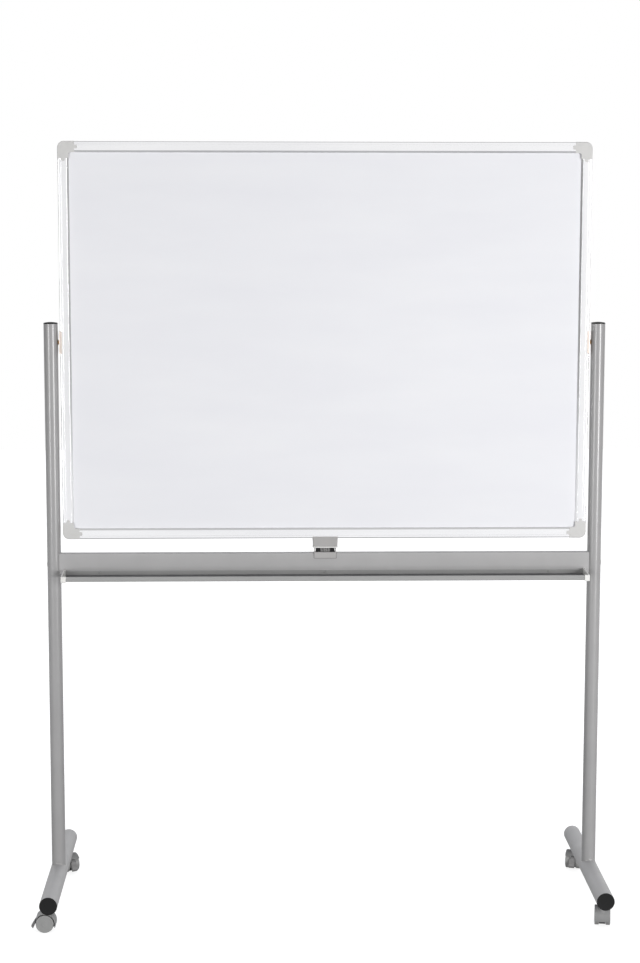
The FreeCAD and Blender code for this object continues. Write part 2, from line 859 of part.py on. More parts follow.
def keeper_parts():
    """Saddle over the crossbar's top with an ear at each end, and the screws in its back flange."""
    inner = crossbar_half + fit_gap
    outer = inner + keeper_wall
    low = crossbar_top - keeper_flange
    roof = crossbar_top + fit_gap
    section = [
        (-outer, low, 0),
        (-outer, keeper_top_z, keeper_edge_radius),
        (outer, keeper_top_z, keeper_edge_radius),
        (outer, low, 0),
        (inner, low, 0),
        (inner, roof, 0),
        (-inner, roof, 0),
        (-inner, low, 0),
    ]
    half = keeper_width / 2
    keeper = prism(section, lambda u, v: point(-half, u, v), ALONG_X * keeper_width)
    ear_top = housing_bottom - ear_clearance
    ear_half = ear_depth / 2
    ear = [
        (-ear_half, roof, 0),
        (-ear_half, ear_top, ear_radius),
        (ear_half, ear_top, ear_radius),
        (ear_half, roof, 0),
    ]
    for x in (-half, half - ear_thickness):
        keeper = keeper.fuse(prism(ear, lambda u, v, at=x: point(at, u, v), ALONG_X * ear_thickness))
    keeper = keeper.cut(keeper_slot())
    head = (keeper_screw_head_radius, keeper_screw_head_height)
    shank = (keeper_screw_radius, keeper_screw_length)
    screws = []
    for x in keeper_screw_places():
        seat = point(x, outer, keeper_screw_z())
        bore = keeper_screw_radius + fit_gap
        keeper = keeper.cut(hole(seat - ALONG_Y * overrun, seat + ALONG_Y * overrun, bore))
        screws.append(screw(seat, -ALONG_Y, head, shank))
    return {
        "latch_keeper": keeper.removeSplitter(),
        "keeper_screws": Part.makeCompound(screws),
    }


# Casters, each drawn with its stem's axis on the origin and its wheels trailing towards +X

def axle_point(x, y, z):
    """Point given from the middle of the axle."""
    return point(caster_trail + x, y, wheel_radius + z)


def hood_arc(radius):
    """Points at radius from the axle, from the back of the hood over the top to its front."""
    sweep = hood_front_deg - hood_back_deg
    turns = [math.radians(hood_back_deg + sweep * i / hood_steps) for i in range(hood_steps + 1)]
    return [(radius * math.cos(turn), radius * math.sin(turn), 0) for turn in turns]


def across_wheels(corners, half):
    """Prism on an outline seen along the axle, as deep as half on each side of the middle."""
    return prism(corners, lambda u, v: axle_point(u, -half, v), ALONG_Y * (2 * half))


def caster_hood():
    """Hood over both wheels, with the web between them, the stem's boss and the pedal's slot."""
    hood = across_wheels(hood_arc(hood_radius) + hood_arc(hood_bore)[::-1], wheel_outer)
    web_radius = hood_bore + hood_wall / 2
    web_arc = hood_arc(web_radius)
    web_toes = [(-web_toe, -web_drop, 0), (web_toe, -web_drop, 0), (web_back, web_back_height, 0)]
    hood = hood.fuse(across_wheels(web_arc + web_toes, web_half))
    hood = hood.fuse(pin(point(0, 0, wheel_radius), point(0, 0, boss_top), boss_radius))
    stem_seat = point(0, 0, boss_top - stem_seat_depth)
    hood = hood.cut(hole(stem_seat, point(0, 0, boss_top + overrun), stem_radius + running_gap))
    axle_end = axle_point(0, wheel_outer, 0)
    hood = hood.cut(hole(axle_point(0, -wheel_outer, 0), axle_end, axle_radius + fit_gap))
    far = hood_radius + overrun
    slot_low = -web_drop - overrun
    slot_high = web_arc[0][1]
    slot = [
        (pedal_slot_start, slot_low, 0),
        (far, slot_low, 0),
        (far, slot_high, 0),
        (pedal_slot_start, slot_high, 0),
    ]
    hood = hood.cut(across_wheels(slot, pedal_arm_width / 2 + running_gap))
    pin_from = axle_point(pedal_pin_x, -wheel_inner, pedal_pin_z)
    pin_to = axle_point(pedal_pin_x, wheel_inner, pedal_pin_z)
    hood = hood.cut(hole(pin_from, pin_to, pedal_pin_radius + running_gap))
    return hood.removeSplitter()


def caster_wheel(side):
    """Wheel with one of its flat sides on the floor; side is -1 or 1 along the axle."""
    corner_radius = wheel_radius / math.cos(math.pi / wheel_sides)
    inner = axle_point(0, side * wheel_inner, 0)
    wheel = regular_bar(inner, axle_point(0, side * wheel_outer, 0), corner_radius, wheel_sides)
    bore_end = axle_point(0, side * (wheel_outer - axle_inset + fit_gap), 0)
    return wheel.cut(hole(axle_point(0, 0, 0), bore_end, axle_radius + running_gap))


def caster_axle():
    """Steel axle held in the web, with a wheel on each end."""
    end = wheel_outer - axle_inset
    return pin(axle_point(0, -end, 0), axle_point(0, end, 0), axle_radius)


def brake_pedal():
    """Brake pedal hinged in the web's slot, with a wider pad outside the wheels."""
    pin_x = pedal_pin_x
    pin_z = pedal_pin_z
    arm = [
        (pin_x - 2 * pedal_pin_radius, pin_z - 2 * pedal_pin_radius, pedal_pin_radius),
        (pin_x - 2 * pedal_pin_radius, pin_z + 2 * pedal_pin_radius, pedal_pin_radius),
        (pin_x + pedal_pin_radius, pin_z + 3 * pedal_pin_radius, 0),
    ]
    for out_share, up_share in pedal_shares:
        arm.append((hood_radius * out_share, hood_radius * up_share, pedal_pin_radius))
    arm.append((pin_x + 2 * pedal_pin_radius, pin_z - 3 * pedal_pin_radius, 0))
    half_pad = pedal_pad_width / 2
    pad_space = block(
        (caster_trail + pedal_pad_start, caster_trail + 2 * hood_radius),
        (-half_pad, half_pad),
        (0, 2 * wheel_diameter),
    )
    pad = across_wheels(arm, half_pad).common(pad_space)
    hinge = pin(axle_point(pin_x, -half_pad, pin_z), axle_point(pin_x, half_pad, pin_z), pedal_pin_radius)
    return across_wheels(arm, pedal_arm_width / 2).fuse(pad).fuse(hinge).removeSplitter()


def caster_stem():
    """Stem with its collar, turning in the hood's boss and screwed into the foot."""
    low = boss_top - stem_seat_depth + boss_gap
    collar_low = stem_collar_top - stem_collar_height
    stem = pin(point(0, 0, low), point(0, 0, low + stem_length), stem_radius)
    collar_top = point(0, 0, stem_collar_top)
    collar = regular_bar(point(0, 0, collar_low), collar_top, stem_collar_radius, nut_sides)
    return stem.fuse(collar).removeSplitter()


def caster_parts():
    """The four casters, each turned to its own heading, and their stems."""
    shapes = {
        "hood": caster_hood(),
        "wheel_a": caster_wheel(-1),
        "wheel_b": caster_wheel(1),
        "axle": caster_axle(),
        "brake_pedal": brake_pedal(),
    }
    parts = {}
    stems = []
    for name, x, y in caster_places():
        for piece, shape in shapes.items():
            copy = shape.copy()
            copy.rotate(ORIGIN, UP, caster_heading_deg[name])
            copy.translate(point(x, y, 0))
            parts[name + "_caster_" + piece] = copy
        stem = caster_stem()
        stem.translate(point(x, y, 0))
        stems.append(stem)
    parts["caster_stems"] = Part.makeCompound(stems)
    return parts


def all_parts():
    """Every piece of the board and its stand, by name."""
    parts = {}
    for group in (
        panel_parts,
        rail_parts,
        corner_parts,
        pivot_parts,
        post_and_foot_parts,
        crossbar_parts,
        tray_parts,
        latch_housing_parts,
        latch_slider_parts,
        keeper_parts,
        caster_parts,
    ):
        parts.update(group())
    return parts


os.makedirs("parts", exist_ok=True)
for node, shape in all_parts().items():
    shape.exportStep("parts/" + node + ".step")
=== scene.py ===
"""Looks of a reversible whiteboard on a rolling stand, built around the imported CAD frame.

Sizes are in millimetres and become metres where a mesh is made. +Z is up, the board's front faces -Y,
and the origin lies on the floor midway between the posts.
"""

import logging
import math
from collections.abc import Callable, Sequence
from dataclasses import dataclass, field
from enum import Enum

import bmesh
import bpy
from mathutils import Matrix, Vector


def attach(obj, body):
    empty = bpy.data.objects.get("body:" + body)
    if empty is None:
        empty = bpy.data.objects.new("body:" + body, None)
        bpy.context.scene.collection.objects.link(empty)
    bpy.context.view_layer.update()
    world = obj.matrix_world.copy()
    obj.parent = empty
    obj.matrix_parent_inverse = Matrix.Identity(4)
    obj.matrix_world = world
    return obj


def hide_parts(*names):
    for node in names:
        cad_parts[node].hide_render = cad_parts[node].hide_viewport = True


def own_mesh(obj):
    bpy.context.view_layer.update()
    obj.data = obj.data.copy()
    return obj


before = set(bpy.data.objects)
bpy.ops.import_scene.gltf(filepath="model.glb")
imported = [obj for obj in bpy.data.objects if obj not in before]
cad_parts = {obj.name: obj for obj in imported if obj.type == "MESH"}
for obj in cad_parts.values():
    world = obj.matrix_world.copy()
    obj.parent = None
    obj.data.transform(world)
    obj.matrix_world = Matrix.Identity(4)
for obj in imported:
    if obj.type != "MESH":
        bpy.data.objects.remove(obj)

Point = tuple[float, float, float]

MM = 0.001
LOG = logging.getLogger("whiteboard")
AXES = {"X": Vector((1, 0, 0)), "Y": Vector((0, 1, 0)), "Z": Vector((0, 0, 1))}
PIVOT = Vector((0, 0, 1305))
# A corner counts as being at a place within NEAR millimetres, and a direction as along an axis from ALONG on.
NEAR = 0.01
ALONG = 0.9
# Gap between pieces that touch, how far united pieces run into each other, how far a cutting tool reaches past
# the piece, and the distance within which corners become one, all in millimetres.
CLEAR = 0.02
OVERLAP = 0.5
PAST = 5.0
MERGE = 0.002
# Most of a noise's values lie in this span.
NOISE_SPAN = (0.3, 0.7)


class Pick(Enum):
    """What a selection on a workpiece takes."""

    FACE = "FACE"
    EDGE = "EDGE"
    CORNER = "VERT"


class Body(Enum):
    """Bodies of the frame that the pieces ride on, apart from the casters' own."""

    STAND = "stand"
    BOARD = "board"
    LATCH = "latch"


# Finishes

def linear(code: str) -> tuple[float, float, float, float]:
    """Linear colour of an sRGB hex value.

    Args:
        code: Six hex digits.

    Returns:
        Red, green, blue and an alpha of one.
    """
    parts = [int(code[i:i + 2], 16) / 255 for i in (0, 2, 4)]
    red, green, blue = (c / 12.92 if c <= 0.04045 else ((c + 0.055) / 1.055) ** 2.4 for c in parts)
    return red, green, blue, 1.0


def add_node(tree: bpy.types.NodeTree, kind: str, inputs: dict | None = None, **settings) -> bpy.types.Node:
    """Add a node with its settings, values and links.

    Args:
        tree: Node tree that gets the node.
        kind: Blender's name for the node, without ShaderNode.
        inputs: Value, or output to link from, for each input by name or number.
        settings: The node's own properties.

    Returns:
        The new node.
    """
    node = tree.nodes.new("ShaderNode" + kind)
    for name, value in settings.items():
        setattr(node, name, value)
    for name, value in (inputs or {}).items():
        if isinstance(value, bpy.types.NodeSocket):
            tree.links.new(value, node.inputs[name])
        else:
            node.inputs[name].default_value = value
    return node


@dataclass(frozen=True)
class Finish:
    """Surface of one real material: its colours, its gloss and the relief that its making leaves.

    A cloudy change of colour and gloss has the size of mottle, and a fine relief the size of grain, both in
    millimetres along X, Y and Z.
    """

    name: str
    slot: str
    colour: str
    shade: str
    roughness: tuple[float, float]
    mottle: Point
    grain: Point
    relief: float
    metallic: float = 0.0
    ior: float = 1.5
    coat: float = 0.0
    coat_roughness: float = 0.08
    detail: float = 3.0

    def noise(self, tree: bpy.types.NodeTree, size: Point) -> bpy.types.NodeSocket:
        """Noise whose features have the given size.

        Args:
            tree: Material's node tree.
            size: Size of the features along each axis, in millimetres.

        Returns:
            The noise as one number.
        """
        place = add_node(tree, "TexCoord")
        scale = [1 / (MM * s) for s in size]
        sized = add_node(tree, "Mapping", {"Vector": place.outputs["Object"], "Scale": scale})
        inputs = {"Vector": sized.outputs["Vector"], "Scale": 1.0, "Detail": self.detail}
        return add_node(tree, "TexNoise", inputs).outputs["Fac"]

    def tint(self, tree: bpy.types.NodeTree, cloud: bpy.types.NodeSocket) -> bpy.types.NodeSocket:
        """Colour that drifts between the finish's two tones with the cloud."""
        inputs = {0: cloud, 6: linear(self.colour), 7: linear(self.shade)}
        return add_node(tree, "Mix", inputs, data_type="RGBA").outputs[2]

    def height(self, tree: bpy.types.NodeTree) -> bpy.types.NodeSocket:
        """Height of the surface's fine relief, from none to all of it."""
        return self.noise(tree, self.grain)

    def material(self) -> bpy.types.Material:
        """Blender material of the finish, made once.

        Returns:
            The material.
        """
        made = bpy.data.materials.get(self.name)
        if made:
            return made
        made = bpy.data.materials.new(self.name)
        made.use_nodes = True
        tree = made.node_tree
        shader = tree.nodes["Principled BSDF"]
        cloud = self.noise(tree, self.mottle)
        span = {0: cloud, 1: NOISE_SPAN[0], 2: NOISE_SPAN[1]}
        spread = add_node(tree, "MapRange", span)
        gloss = add_node(tree, "MapRange", span | {3: self.roughness[0], 4: self.roughness[1]})
        rise = {"Height": self.height(tree), "Distance": self.relief * MM, "Strength": 1.0}
        bump = add_node(tree, "Bump", rise)
        tree.links.new(self.tint(tree, spread.outputs[0]), shader.inputs["Base Color"])
        tree.links.new(gloss.outputs[0], shader.inputs["Roughness"])
        tree.links.new(bump.outputs[0], shader.inputs["Normal"])
        shader.inputs["Metallic"].default_value = self.metallic
        if not self.metallic:
            shader.inputs["IOR"].default_value = self.ior
        shader.inputs["Coat Weight"].default_value = self.coat
        shader.inputs["Coat Roughness"].default_value = self.coat_roughness
        return made


@dataclass(frozen=True)
class HoneycombPaper(Finish):
    """Kraft paper comb between the sheets: six-sided cells show as a relief of thin walls."""

    def height(self, tree: bpy.types.NodeTree) -> bpy.types.NodeSocket:
        """Height of the cell walls above the cells."""
        place = add_node(tree, "TexCoord")
        scale = [1 / (MM * s) for s in self.grain]
        sized = add_node(tree, "Mapping", {"Vector": place.outputs["Object"], "Scale": scale})
        inputs = {"Vector": sized.outputs[0], "Scale": 1.0}
        cells = add_node(tree, "TexVoronoi", inputs, feature="DISTANCE_TO_EDGE")
        return cells.outputs["Distance"]


@dataclass(frozen=True)
class ShadedTroughCoat(Finish):
    """Powder coat of the pen tray, whose floor behind the lip is darkened with painted shade."""

    trough_shade: str = "4E4E50"
    floor: tuple[float, float, float, float] = (771.3, 771.8, 772.2, 772.9)
    lip: tuple[float, float] = (-90.3, -89.3)
    faintest_shade: float = 0.75

    def tint(self, tree: bpy.types.NodeTree, cloud: bpy.types.NodeSocket) -> bpy.types.NodeSocket:
        """Colour of the coat, darkened with painted shade on the tray's floor behind its lip."""
        place = add_node(tree, "TexCoord")
        spot = add_node(tree, "SeparateXYZ", {0: place.outputs["Object"]})
        low, start, end, high = (z * MM for z in self.floor)
        front, behind = (y * MM for y in self.lip)
        above = add_node(tree, "MapRange", {0: spot.outputs["Z"], 1: low, 2: start})
        below = add_node(tree, "MapRange", {0: spot.outputs["Z"], 1: end, 2: high, 3: 1.0, 4: 0.0})
        inside = add_node(tree, "MapRange", {0: spot.outputs["Y"], 1: front, 2: behind})
        layer = add_node(tree, "Math", {0: above.outputs[0], 1: below.outputs[0]}, operation="MULTIPLY")
        shade_share = add_node(tree, "Math", {0: layer.outputs[0], 1: inside.outputs[0]}, operation="MULTIPLY")
        drift = add_node(tree, "MapRange", {0: cloud, 3: self.faintest_shade, 4: 1.0})
        shade_share = add_node(tree, "Math", {0: shade_share.outputs[0], 1: drift.outputs[0]}, operation="MULTIPLY")
        inputs = {0: shade_share.outputs[0], 6: super().tint(tree, cloud), 7: linear(self.trough_shade)}
        return add_node(tree, "Mix", inputs, data_type="RGBA").outputs[2]


# Vitreous enamel on steel: hard white gloss with a barely visible orange peel, and a faint haze where it was
# wiped.
WRITING_ENAMEL = Finish(
    "enamelled_steel_writing_sheet", "enamelled_steel_white", "E6E6E9", "E2E2E6",
    (0.10, 0.17), (420, 420, 90), (9, 9, 9), 0.010, coat=0.25,
)
# Kraft paper: dull brown with thin walls round the cells.
HONEYCOMB = HoneycombPaper(
    "kraft_paper_honeycomb", "honeycomb_core", "B08A5C", "9A7548",
    (0.85, 0.95), (60, 60, 60), (9, 9, 9), 0.6,
)
# Satin anodised extrusion: die lines run along the rail and stretch the highlights across it.
RAIL_ALONG_X = Finish(
    "anodised_aluminium_drawn_along_x", "anodised_aluminium", "E9E9EA", "DFDFE1",
    (0.15, 0.18), (400, 40, 40), (140, 0.5, 0.5), 0.0002, metallic=1.0,
)
RAIL_ALONG_Z = Finish(
    "anodised_aluminium_drawn_along_z", "anodised_aluminium", "E9E9EA", "DFDFE1",
    (0.15, 0.18), (40, 40, 400), (0.5, 0.5, 140), 0.0002, metallic=1.0,
)
# Moulded ABS with a fine eroded texture: soft broad highlights. The grain is drawn at 1 mm so that it shows.
CORNER_ABS = Finish(
    "moulded_abs_warm_grey", "corner_plastic", "C9C8C6", "C4C3C1",
    (0.36, 0.46), (30, 30, 30), (1, 1, 1), 0.02,
)
LATCH_ABS = Finish(
    "moulded_abs_latch_grey", "latch_plastic", "A5A3A2", "A09E9D",
    (0.34, 0.44), (25, 25, 25), (1, 1, 1), 0.02,
)
KEEPER_ABS = Finish(
    "moulded_abs_keeper_grey", "latch_plastic", "ACAAA9", "A7A5A4",
    (0.34, 0.44), (25, 25, 25), (1, 1, 1), 0.02,
)
# Grip grey, also used on the dark strips round the keeper, which are a painted shadow line.
GRIP_AND_SHADOW_ABS = Finish(
    "moulded_abs_grip_grey", "latch_plastic", "747372", "6F6E6D",
    (0.34, 0.44), (25, 25, 25), (1, 1, 1), 0.02,
)
# Light grey of the housing's lip: a painted highlight along its curved front edge.
LATCH_LIP_HIGHLIGHT_ABS = Finish(
    "moulded_abs_latch_lip", "latch_plastic", "D9D8D6", "D2D1CF",
    (0.30, 0.38), (25, 25, 25), (1, 1, 1), 0.015,
)
TRAY_CAP_ABS = Finish(
    "moulded_abs_off_white", "tray_cap_plastic", "E6E5E2", "DFDEDA",
    (0.34, 0.42), (25, 25, 25), (1, 1, 1), 0.015,
)
# Moulded polyethylene: dull black with a weak, waxy highlight.
# It also colours the block below each caster's web, which is a painted shadow.
BLACK_PLASTIC_AND_SHADOW = Finish(
    "moulded_polyethylene_black", "black_plastic", "0A0A0B", "0E0E0F",
    (0.56, 0.66), (20, 20, 20), (1.2, 1.2, 1.2), 0.02, ior=1.33,
)
# Silver-grey powder coat: fine flakes in a baked film with a light orange peel of about 2 mm.
GLOSS_COAT = Finish(
    "powder_coated_steel_gloss_grey", "powder_coated_steel", "9F9E9E", "9B9A9A",
    (0.23, 0.26), (60, 60, 60), (2.0, 2.0, 2.0), 0.0015,
)
MATT_COAT = Finish(
    "powder_coated_steel_matt_grey", "powder_coated_steel", "AAA9A9", "A6A5A5",
    (0.46, 0.54), (60, 60, 60), (2.0, 2.0, 2.0), 0.004,
)
# Tray coat: the trough's floor behind the lip gets painted shade.
TRAY_COAT = ShadedTroughCoat(
    "powder_coated_steel_tray_grey", "powder_coated_steel", "989897", "949493",
    (0.46, 0.54), (60, 60, 60), (2.0, 2.0, 2.0), 0.004,
)
# Weld bead under the same coat: a rippled line with small bright points.
WELD_COAT = Finish(
    "powder_coated_weld_bead", "powder_coated_steel", "B9B8B6", "A8A7A5",
    (0.30, 0.40), (5, 5, 5), (1.5, 1.5, 1.5), 0.08, metallic=0.55,
)
# Bright zinc plate: cool, slightly patchy shine.
ZINC = Finish(
    "zinc_plated_steel_bright", "zinc_plated_steel", "D2D2D2", "BEBEC0",
    (0.22, 0.34), (5, 5, 5), (1.5, 1.5, 1.5), 0.006, metallic=1.0,
)
# Passivated zinc plate of the pivots: a warm, duller shine.
PASSIVATED_ZINC = Finish(
    "zinc_plated_steel_passivated", "zinc_plated_steel", "C6BCB5", "B2A8A1",
    (0.26, 0.38), (6, 6, 6), (1.5, 1.5, 1.5), 0.006, metallic=1.0,
)
# Turned brass: brown shine with fine rings round its axis.
BRASS = Finish(
    "turned_brass", "brass", "9C7A48", "7F5E36",
    (0.22, 0.30), (4, 4, 4), (0.3, 2, 2), 0.006, metallic=1.0,
)
# Moulded nylon of the casters, a little waxy.
CASTER_NYLON = Finish(
    "moulded_nylon_caster_hood", "caster_plastic", "8B8B8B", "848484",
    (0.40, 0.50), (15, 15, 15), (1, 1, 1), 0.02,
)
WHEEL_NYLON = Finish(
    "moulded_nylon_caster_wheel", "caster_wheel_plastic", "999998", "929291",
    (0.38, 0.50), (12, 12, 12), (1, 1, 1), 0.02,
)
PEDAL_NYLON = Finish(
    "moulded_nylon_brake_pedal", "caster_plastic", "878686", "807F7F",
    (0.42, 0.52), (15, 15, 15), (1, 1, 1), 0.02,
)
# Drawn steel: plain grey shine.
AXLE_STEEL = Finish(
    "drawn_steel_axle", "axle_steel", "B5B7BA", "A6A8AC",
    (0.25, 0.35), (6, 6, 6), (2, 2, 2), 0.005, metallic=1.0,
)


# Workbench

class Workpiece:
    """One mesh on the bench, shaped in millimetres with Blender's own tools."""

    def __init__(self, name: str) -> None:
        """Take the primitive that was just added, under the piece's name and with its place in its mesh."""
        self.obj = bpy.context.object
        self.obj.name = name
        bpy.ops.object.transform_apply(location=True, rotation=True, scale=True)

    @staticmethod
    def clear() -> None:
        """Leave edit mode and deselect everything."""
        if bpy.context.object and bpy.context.object.mode != "OBJECT":
            bpy.ops.object.mode_set(mode="OBJECT")
        bpy.ops.object.select_all(action="DESELECT")

    @classmethod
    def box(cls, name: str, low: Point, high: Point) -> "Workpiece":
        """Start from a box.

        Args:
            name: Piece's name.
            low: Lowest corner.
            high: Highest corner.

        Returns:
            The box.
        """
        cls.clear()
        near, far = Vector(low), Vector(high)
        bpy.ops.mesh.primitive_cube_add(size=MM, location=(near + far) / 2 * MM, scale=far - near)
        return cls(name)

    @classmethod
    def bar(cls, name: str, start: Point, end: Point, radius: float, sides: int = 96) -> "Workpiece":
        """Start from a round bar.

        Args:
            name: Piece's name.
            start: Middle of one end.
            end: Middle of the other end.
            radius: The bar's radius.
            sides: Sides of its outline.

        Returns:
            The bar.
        """
        cls.clear()
        run = Vector(end) - Vector(start)
        bpy.ops.mesh.primitive_cylinder_add(
            vertices=sides,
            radius=radius * MM,
            depth=run.length * MM,
            location=(Vector(start) + Vector(end)) / 2 * MM,
            rotation=run.to_track_quat("Z", "Y").to_euler(),
        )
        return cls(name)

    @classmethod
    def line(cls, name: str, points: Sequence[Point]) -> "Workpiece":
        """Start from a line of edges, one corner extruded from point to point.

        Args:
            name: Piece's name.
            points: Corners of the line.

        Returns:
            The line, in edit mode.
        """
        cls.clear()
        spots = [Vector(p) * MM for p in points]
        bpy.ops.mesh.primitive_plane_add(size=MM, location=spots[0])
        piece = cls(name).edit()
        bpy.ops.mesh.select_mode(type=Pick.CORNER.value)
        bpy.ops.mesh.select_all(action="SELECT")
        bpy.ops.mesh.merge(type="CENTER")
        for here, there in zip(spots, spots[1:]):
            bpy.ops.mesh.extrude_vertices_move(TRANSFORM_OT_translate={"value": there - here})
        return piece

    @classmethod
    def outline(cls, name: str, points: Sequence[Point]) -> "Workpiece":
        """Start from a flat face with the given corners.

        Args:
            name: Piece's name.
            points: Corners in order.

        Returns:
            The face, in edit mode.
        """
        piece = cls.line(name, points)
        piece.corners_at(points[0], points[-1])
        bpy.ops.mesh.edge_face_add()
        bpy.ops.mesh.select_all(action="SELECT")
        bpy.ops.mesh.edge_face_add()
        return piece

    @classmethod
    def turned(
        cls, name: str, start: Point, axis: Vector, profile: Sequence[tuple[float, float]], steps: int = 72
    ) -> "Workpiece":
        """Start from a turned solid.

        Args:
            name: Piece's name.
            start: Point on the axis from which the profile is measured.
            axis: Direction of the axis.
            profile: Distances along the axis and from it, beginning and ending on the axis.
            steps: Sides of the turned outline.

        Returns:
            The solid.
        """
        out = axis.orthogonal().normalized()
        centre = Vector(start)
        piece = cls.line(name, [centre + axis * along + out * radius for along, radius in profile])
        bpy.ops.mesh.select_all(action="SELECT")
        bpy.ops.mesh.spin(steps=steps, angle=2 * math.pi, center=centre * MM, axis=axis)
        return piece.mend()

    def hold(self) -> None:
        """Select the piece alone and make it the active one, in object mode."""
        self.clear()
        self.obj.select_set(True)
        bpy.context.view_layer.objects.active = self.obj

    def edit(self) -> "Workpiece":
        """Open the piece alone in edit mode."""
        if bpy.context.object is not self.obj or self.obj.mode != "EDIT":
            self.hold()
            bpy.ops.object.mode_set(mode="EDIT")
        return self

    def pick(self, kind: Pick, test: Callable[[Vector, Vector], bool]) -> "Workpiece":
        """Select the faces, edges or corners that pass a test.

        Args:
            kind: What to select.
            test: Says yes or no to an element's middle, in millimetres, and its normal or direction.

        Returns:
            The piece, in edit mode.
        """
        self.edit()
        bpy.ops.mesh.select_mode(type=kind.value)
        bpy.ops.mesh.select_all(action="DESELECT")
        mesh = bmesh.from_edit_mesh(self.obj.data)
        if kind is Pick.FACE:
            found = [(f, f.calc_center_median(), f.normal) for f in mesh.faces]
        elif kind is Pick.EDGE:
            ends = [(e, e.verts[0].co, e.verts[1].co) for e in mesh.edges]
            found = [(e, (a + b) / 2, (b - a).normalized()) for e, a, b in ends]
        else:
            found = [(v, v.co, v.normal) for v in mesh.verts]
        for element, middle, way in found:
            if test(middle / MM, way):
                element.select_set(True)
        mesh.select_flush_mode()
        bmesh.update_edit_mesh(self.obj.data)
        return self

    def corners_at(self, *spots: Point) -> "Workpiece":
        """Select the corners that lie at the given points."""
        places = [Vector(spot) for spot in spots]
        return self.pick(Pick.CORNER, lambda at, _: any((at - place).length < NEAR for place in places))

    def all(self) -> "Workpiece":
        """Select the whole piece in edit mode."""
        self.edit()
        bpy.ops.mesh.select_all(action="SELECT")
        return self

    def mend(self) -> "Workpiece":
        """Merge doubled corners and point every face outwards."""
        self.all()
        bpy.ops.mesh.remove_doubles(threshold=MERGE * MM)
        bpy.ops.mesh.normals_make_consistent(inside=False)
        return self

    def round_off(self, width: float, segments: int, corners: bool = False) -> "Workpiece":
        """Bevel the selected edges, or the selected corners of a flat outline."""
        kind = "VERTICES" if corners else "EDGES"
        bpy.ops.mesh.bevel(offset=width * MM, segments=segments, affect=kind, clamp_overlap=True)
        return self

    def extrude(self, move: Point) -> "Workpiece":
        """Extrude what is selected by a move."""
        bpy.ops.mesh.extrude_region_move(TRANSFORM_OT_translate={"value": Vector(move) * MM})
        return self

    def sweep(self, move: Point) -> "Workpiece":
        """Extrude the whole flat outline into a solid."""
        return self.all().extrude(move).mend()

    def inset(self, thickness: float, depth: float = 0.0) -> "Workpiece":
        """Inset the selected faces, and sink or raise the inner ones."""
        bpy.ops.mesh.inset(thickness=thickness * MM, depth=depth * MM)
        return self

    def resize(self, factors: Point, about: Point) -> "Workpiece":
        """Scale what is selected about a point."""
        bpy.ops.transform.resize(value=factors, center_override=Vector(about) * MM)
        return self

    def apply(self, kind: str, **settings) -> "Workpiece":
        """Add a modifier with its settings and apply it.

        Args:
            kind: Blender's name for the modifier.
            settings: The modifier's properties.

        Returns:
            The piece, in object mode.
        """
        self.hold()
        modifier = self.obj.modifiers.new(kind.title(), kind)
        for name, value in settings.items():
            setattr(modifier, name, value)
        bpy.ops.object.modifier_apply(modifier=modifier.name)
        return self

    def combine(self, tool: "Workpiece", operation: str) -> "Workpiece":
        """Cut with another piece or unite with it, and use that piece up."""
        tool.clear()
        self.apply("BOOLEAN", object=tool.obj, operation=operation, solver="EXACT")
        bpy.data.objects.remove(tool.obj)
        return self

    def cut(self, tool: "Workpiece") -> "Workpiece":
        """Take another piece's space out of this one."""
        return self.combine(tool, "DIFFERENCE")

    def unite(self, tool: "Workpiece") -> "Workpiece":
        """Make one solid of this piece and another."""
        return self.combine(tool, "UNION")

    def soften(self, width: float, segments: int = 2, angle: float = 50.0) -> "Workpiece":
        """Round every edge sharper than an angle, as moulding or deburring leaves it."""
        limits = {"limit_method": "ANGLE", "angle_limit": math.radians(angle)}
        return self.apply("BEVEL", width=width * MM, segments=segments, **limits)

    def polish(self, angle: float = 40.0) -> "Workpiece":
        """Shade the piece smooth except at sharp edges, with its flat faces kept flat."""
        self.hold()
        bpy.ops.object.shade_smooth_by_angle(angle=math.radians(angle))
        return self.apply("WEIGHTED_NORMAL", keep_sharp=True)

    def move(self, matrix: Matrix) -> "Workpiece":
        """Move the mesh itself, in millimetres, with the object left at the origin."""
        self.clear()
        self.obj.data.transform(Matrix.Scale(MM, 4) @ matrix @ Matrix.Scale(1 / MM, 4))
        return self

    def copy(self, name: str, matrix: Matrix) -> "Workpiece":
        """Moved copy with its own mesh.

        Args:
            name: Copy's name.
            matrix: Move from this piece to the copy, in millimetres.

        Returns:
            The copy.
        """
        self.clear()
        twin = Workpiece.__new__(Workpiece)
        twin.obj = self.obj.copy()
        twin.obj.data = self.obj.data.copy()
        twin.obj.name = name
        bpy.context.scene.collection.objects.link(twin.obj)
        return twin.move(matrix)

    def dress(self, finish: Finish, body: Body | str, *nodes: str) -> "Workpiece":
        """Give the piece its finish and its body.

        Args:
            finish: Finish of the whole piece.
            body: Body that the piece rides on, by name for a caster's.
            nodes: CAD nodes that the piece stands for.

        Returns:
            The piece.
        """
        self.clear()
        self.obj.data.materials.clear()
        self.obj.data.materials.append(finish.material())
        carrier = body.value if isinstance(body, Body) else body
        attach(self.obj, carrier)
        if nodes:
            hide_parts(*nodes)
        LOG.info("%s: %d faces, %s, on %s", self.obj.name, len(self.obj.data.polygons), finish.name, carrier)
        return self


def dress_node(name: str, finish: Finish) -> None:
    """Give a CAD node that stays a finish of its own.

    Args:
        name: Node's name.
        finish: Its finish.
    """
    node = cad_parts[name]
    node.data.materials.clear()
    node.data.materials.append(finish.material())
    LOG.info("%s: CAD node, %s", name, finish.name)


def half_turn(axis: str, about: Vector = Vector()) -> Matrix:
    """Half a turn about an axis through a point."""
    return Matrix.Translation(about) @ Matrix.Rotation(math.pi, 4, axis) @ Matrix.Translation(-about)


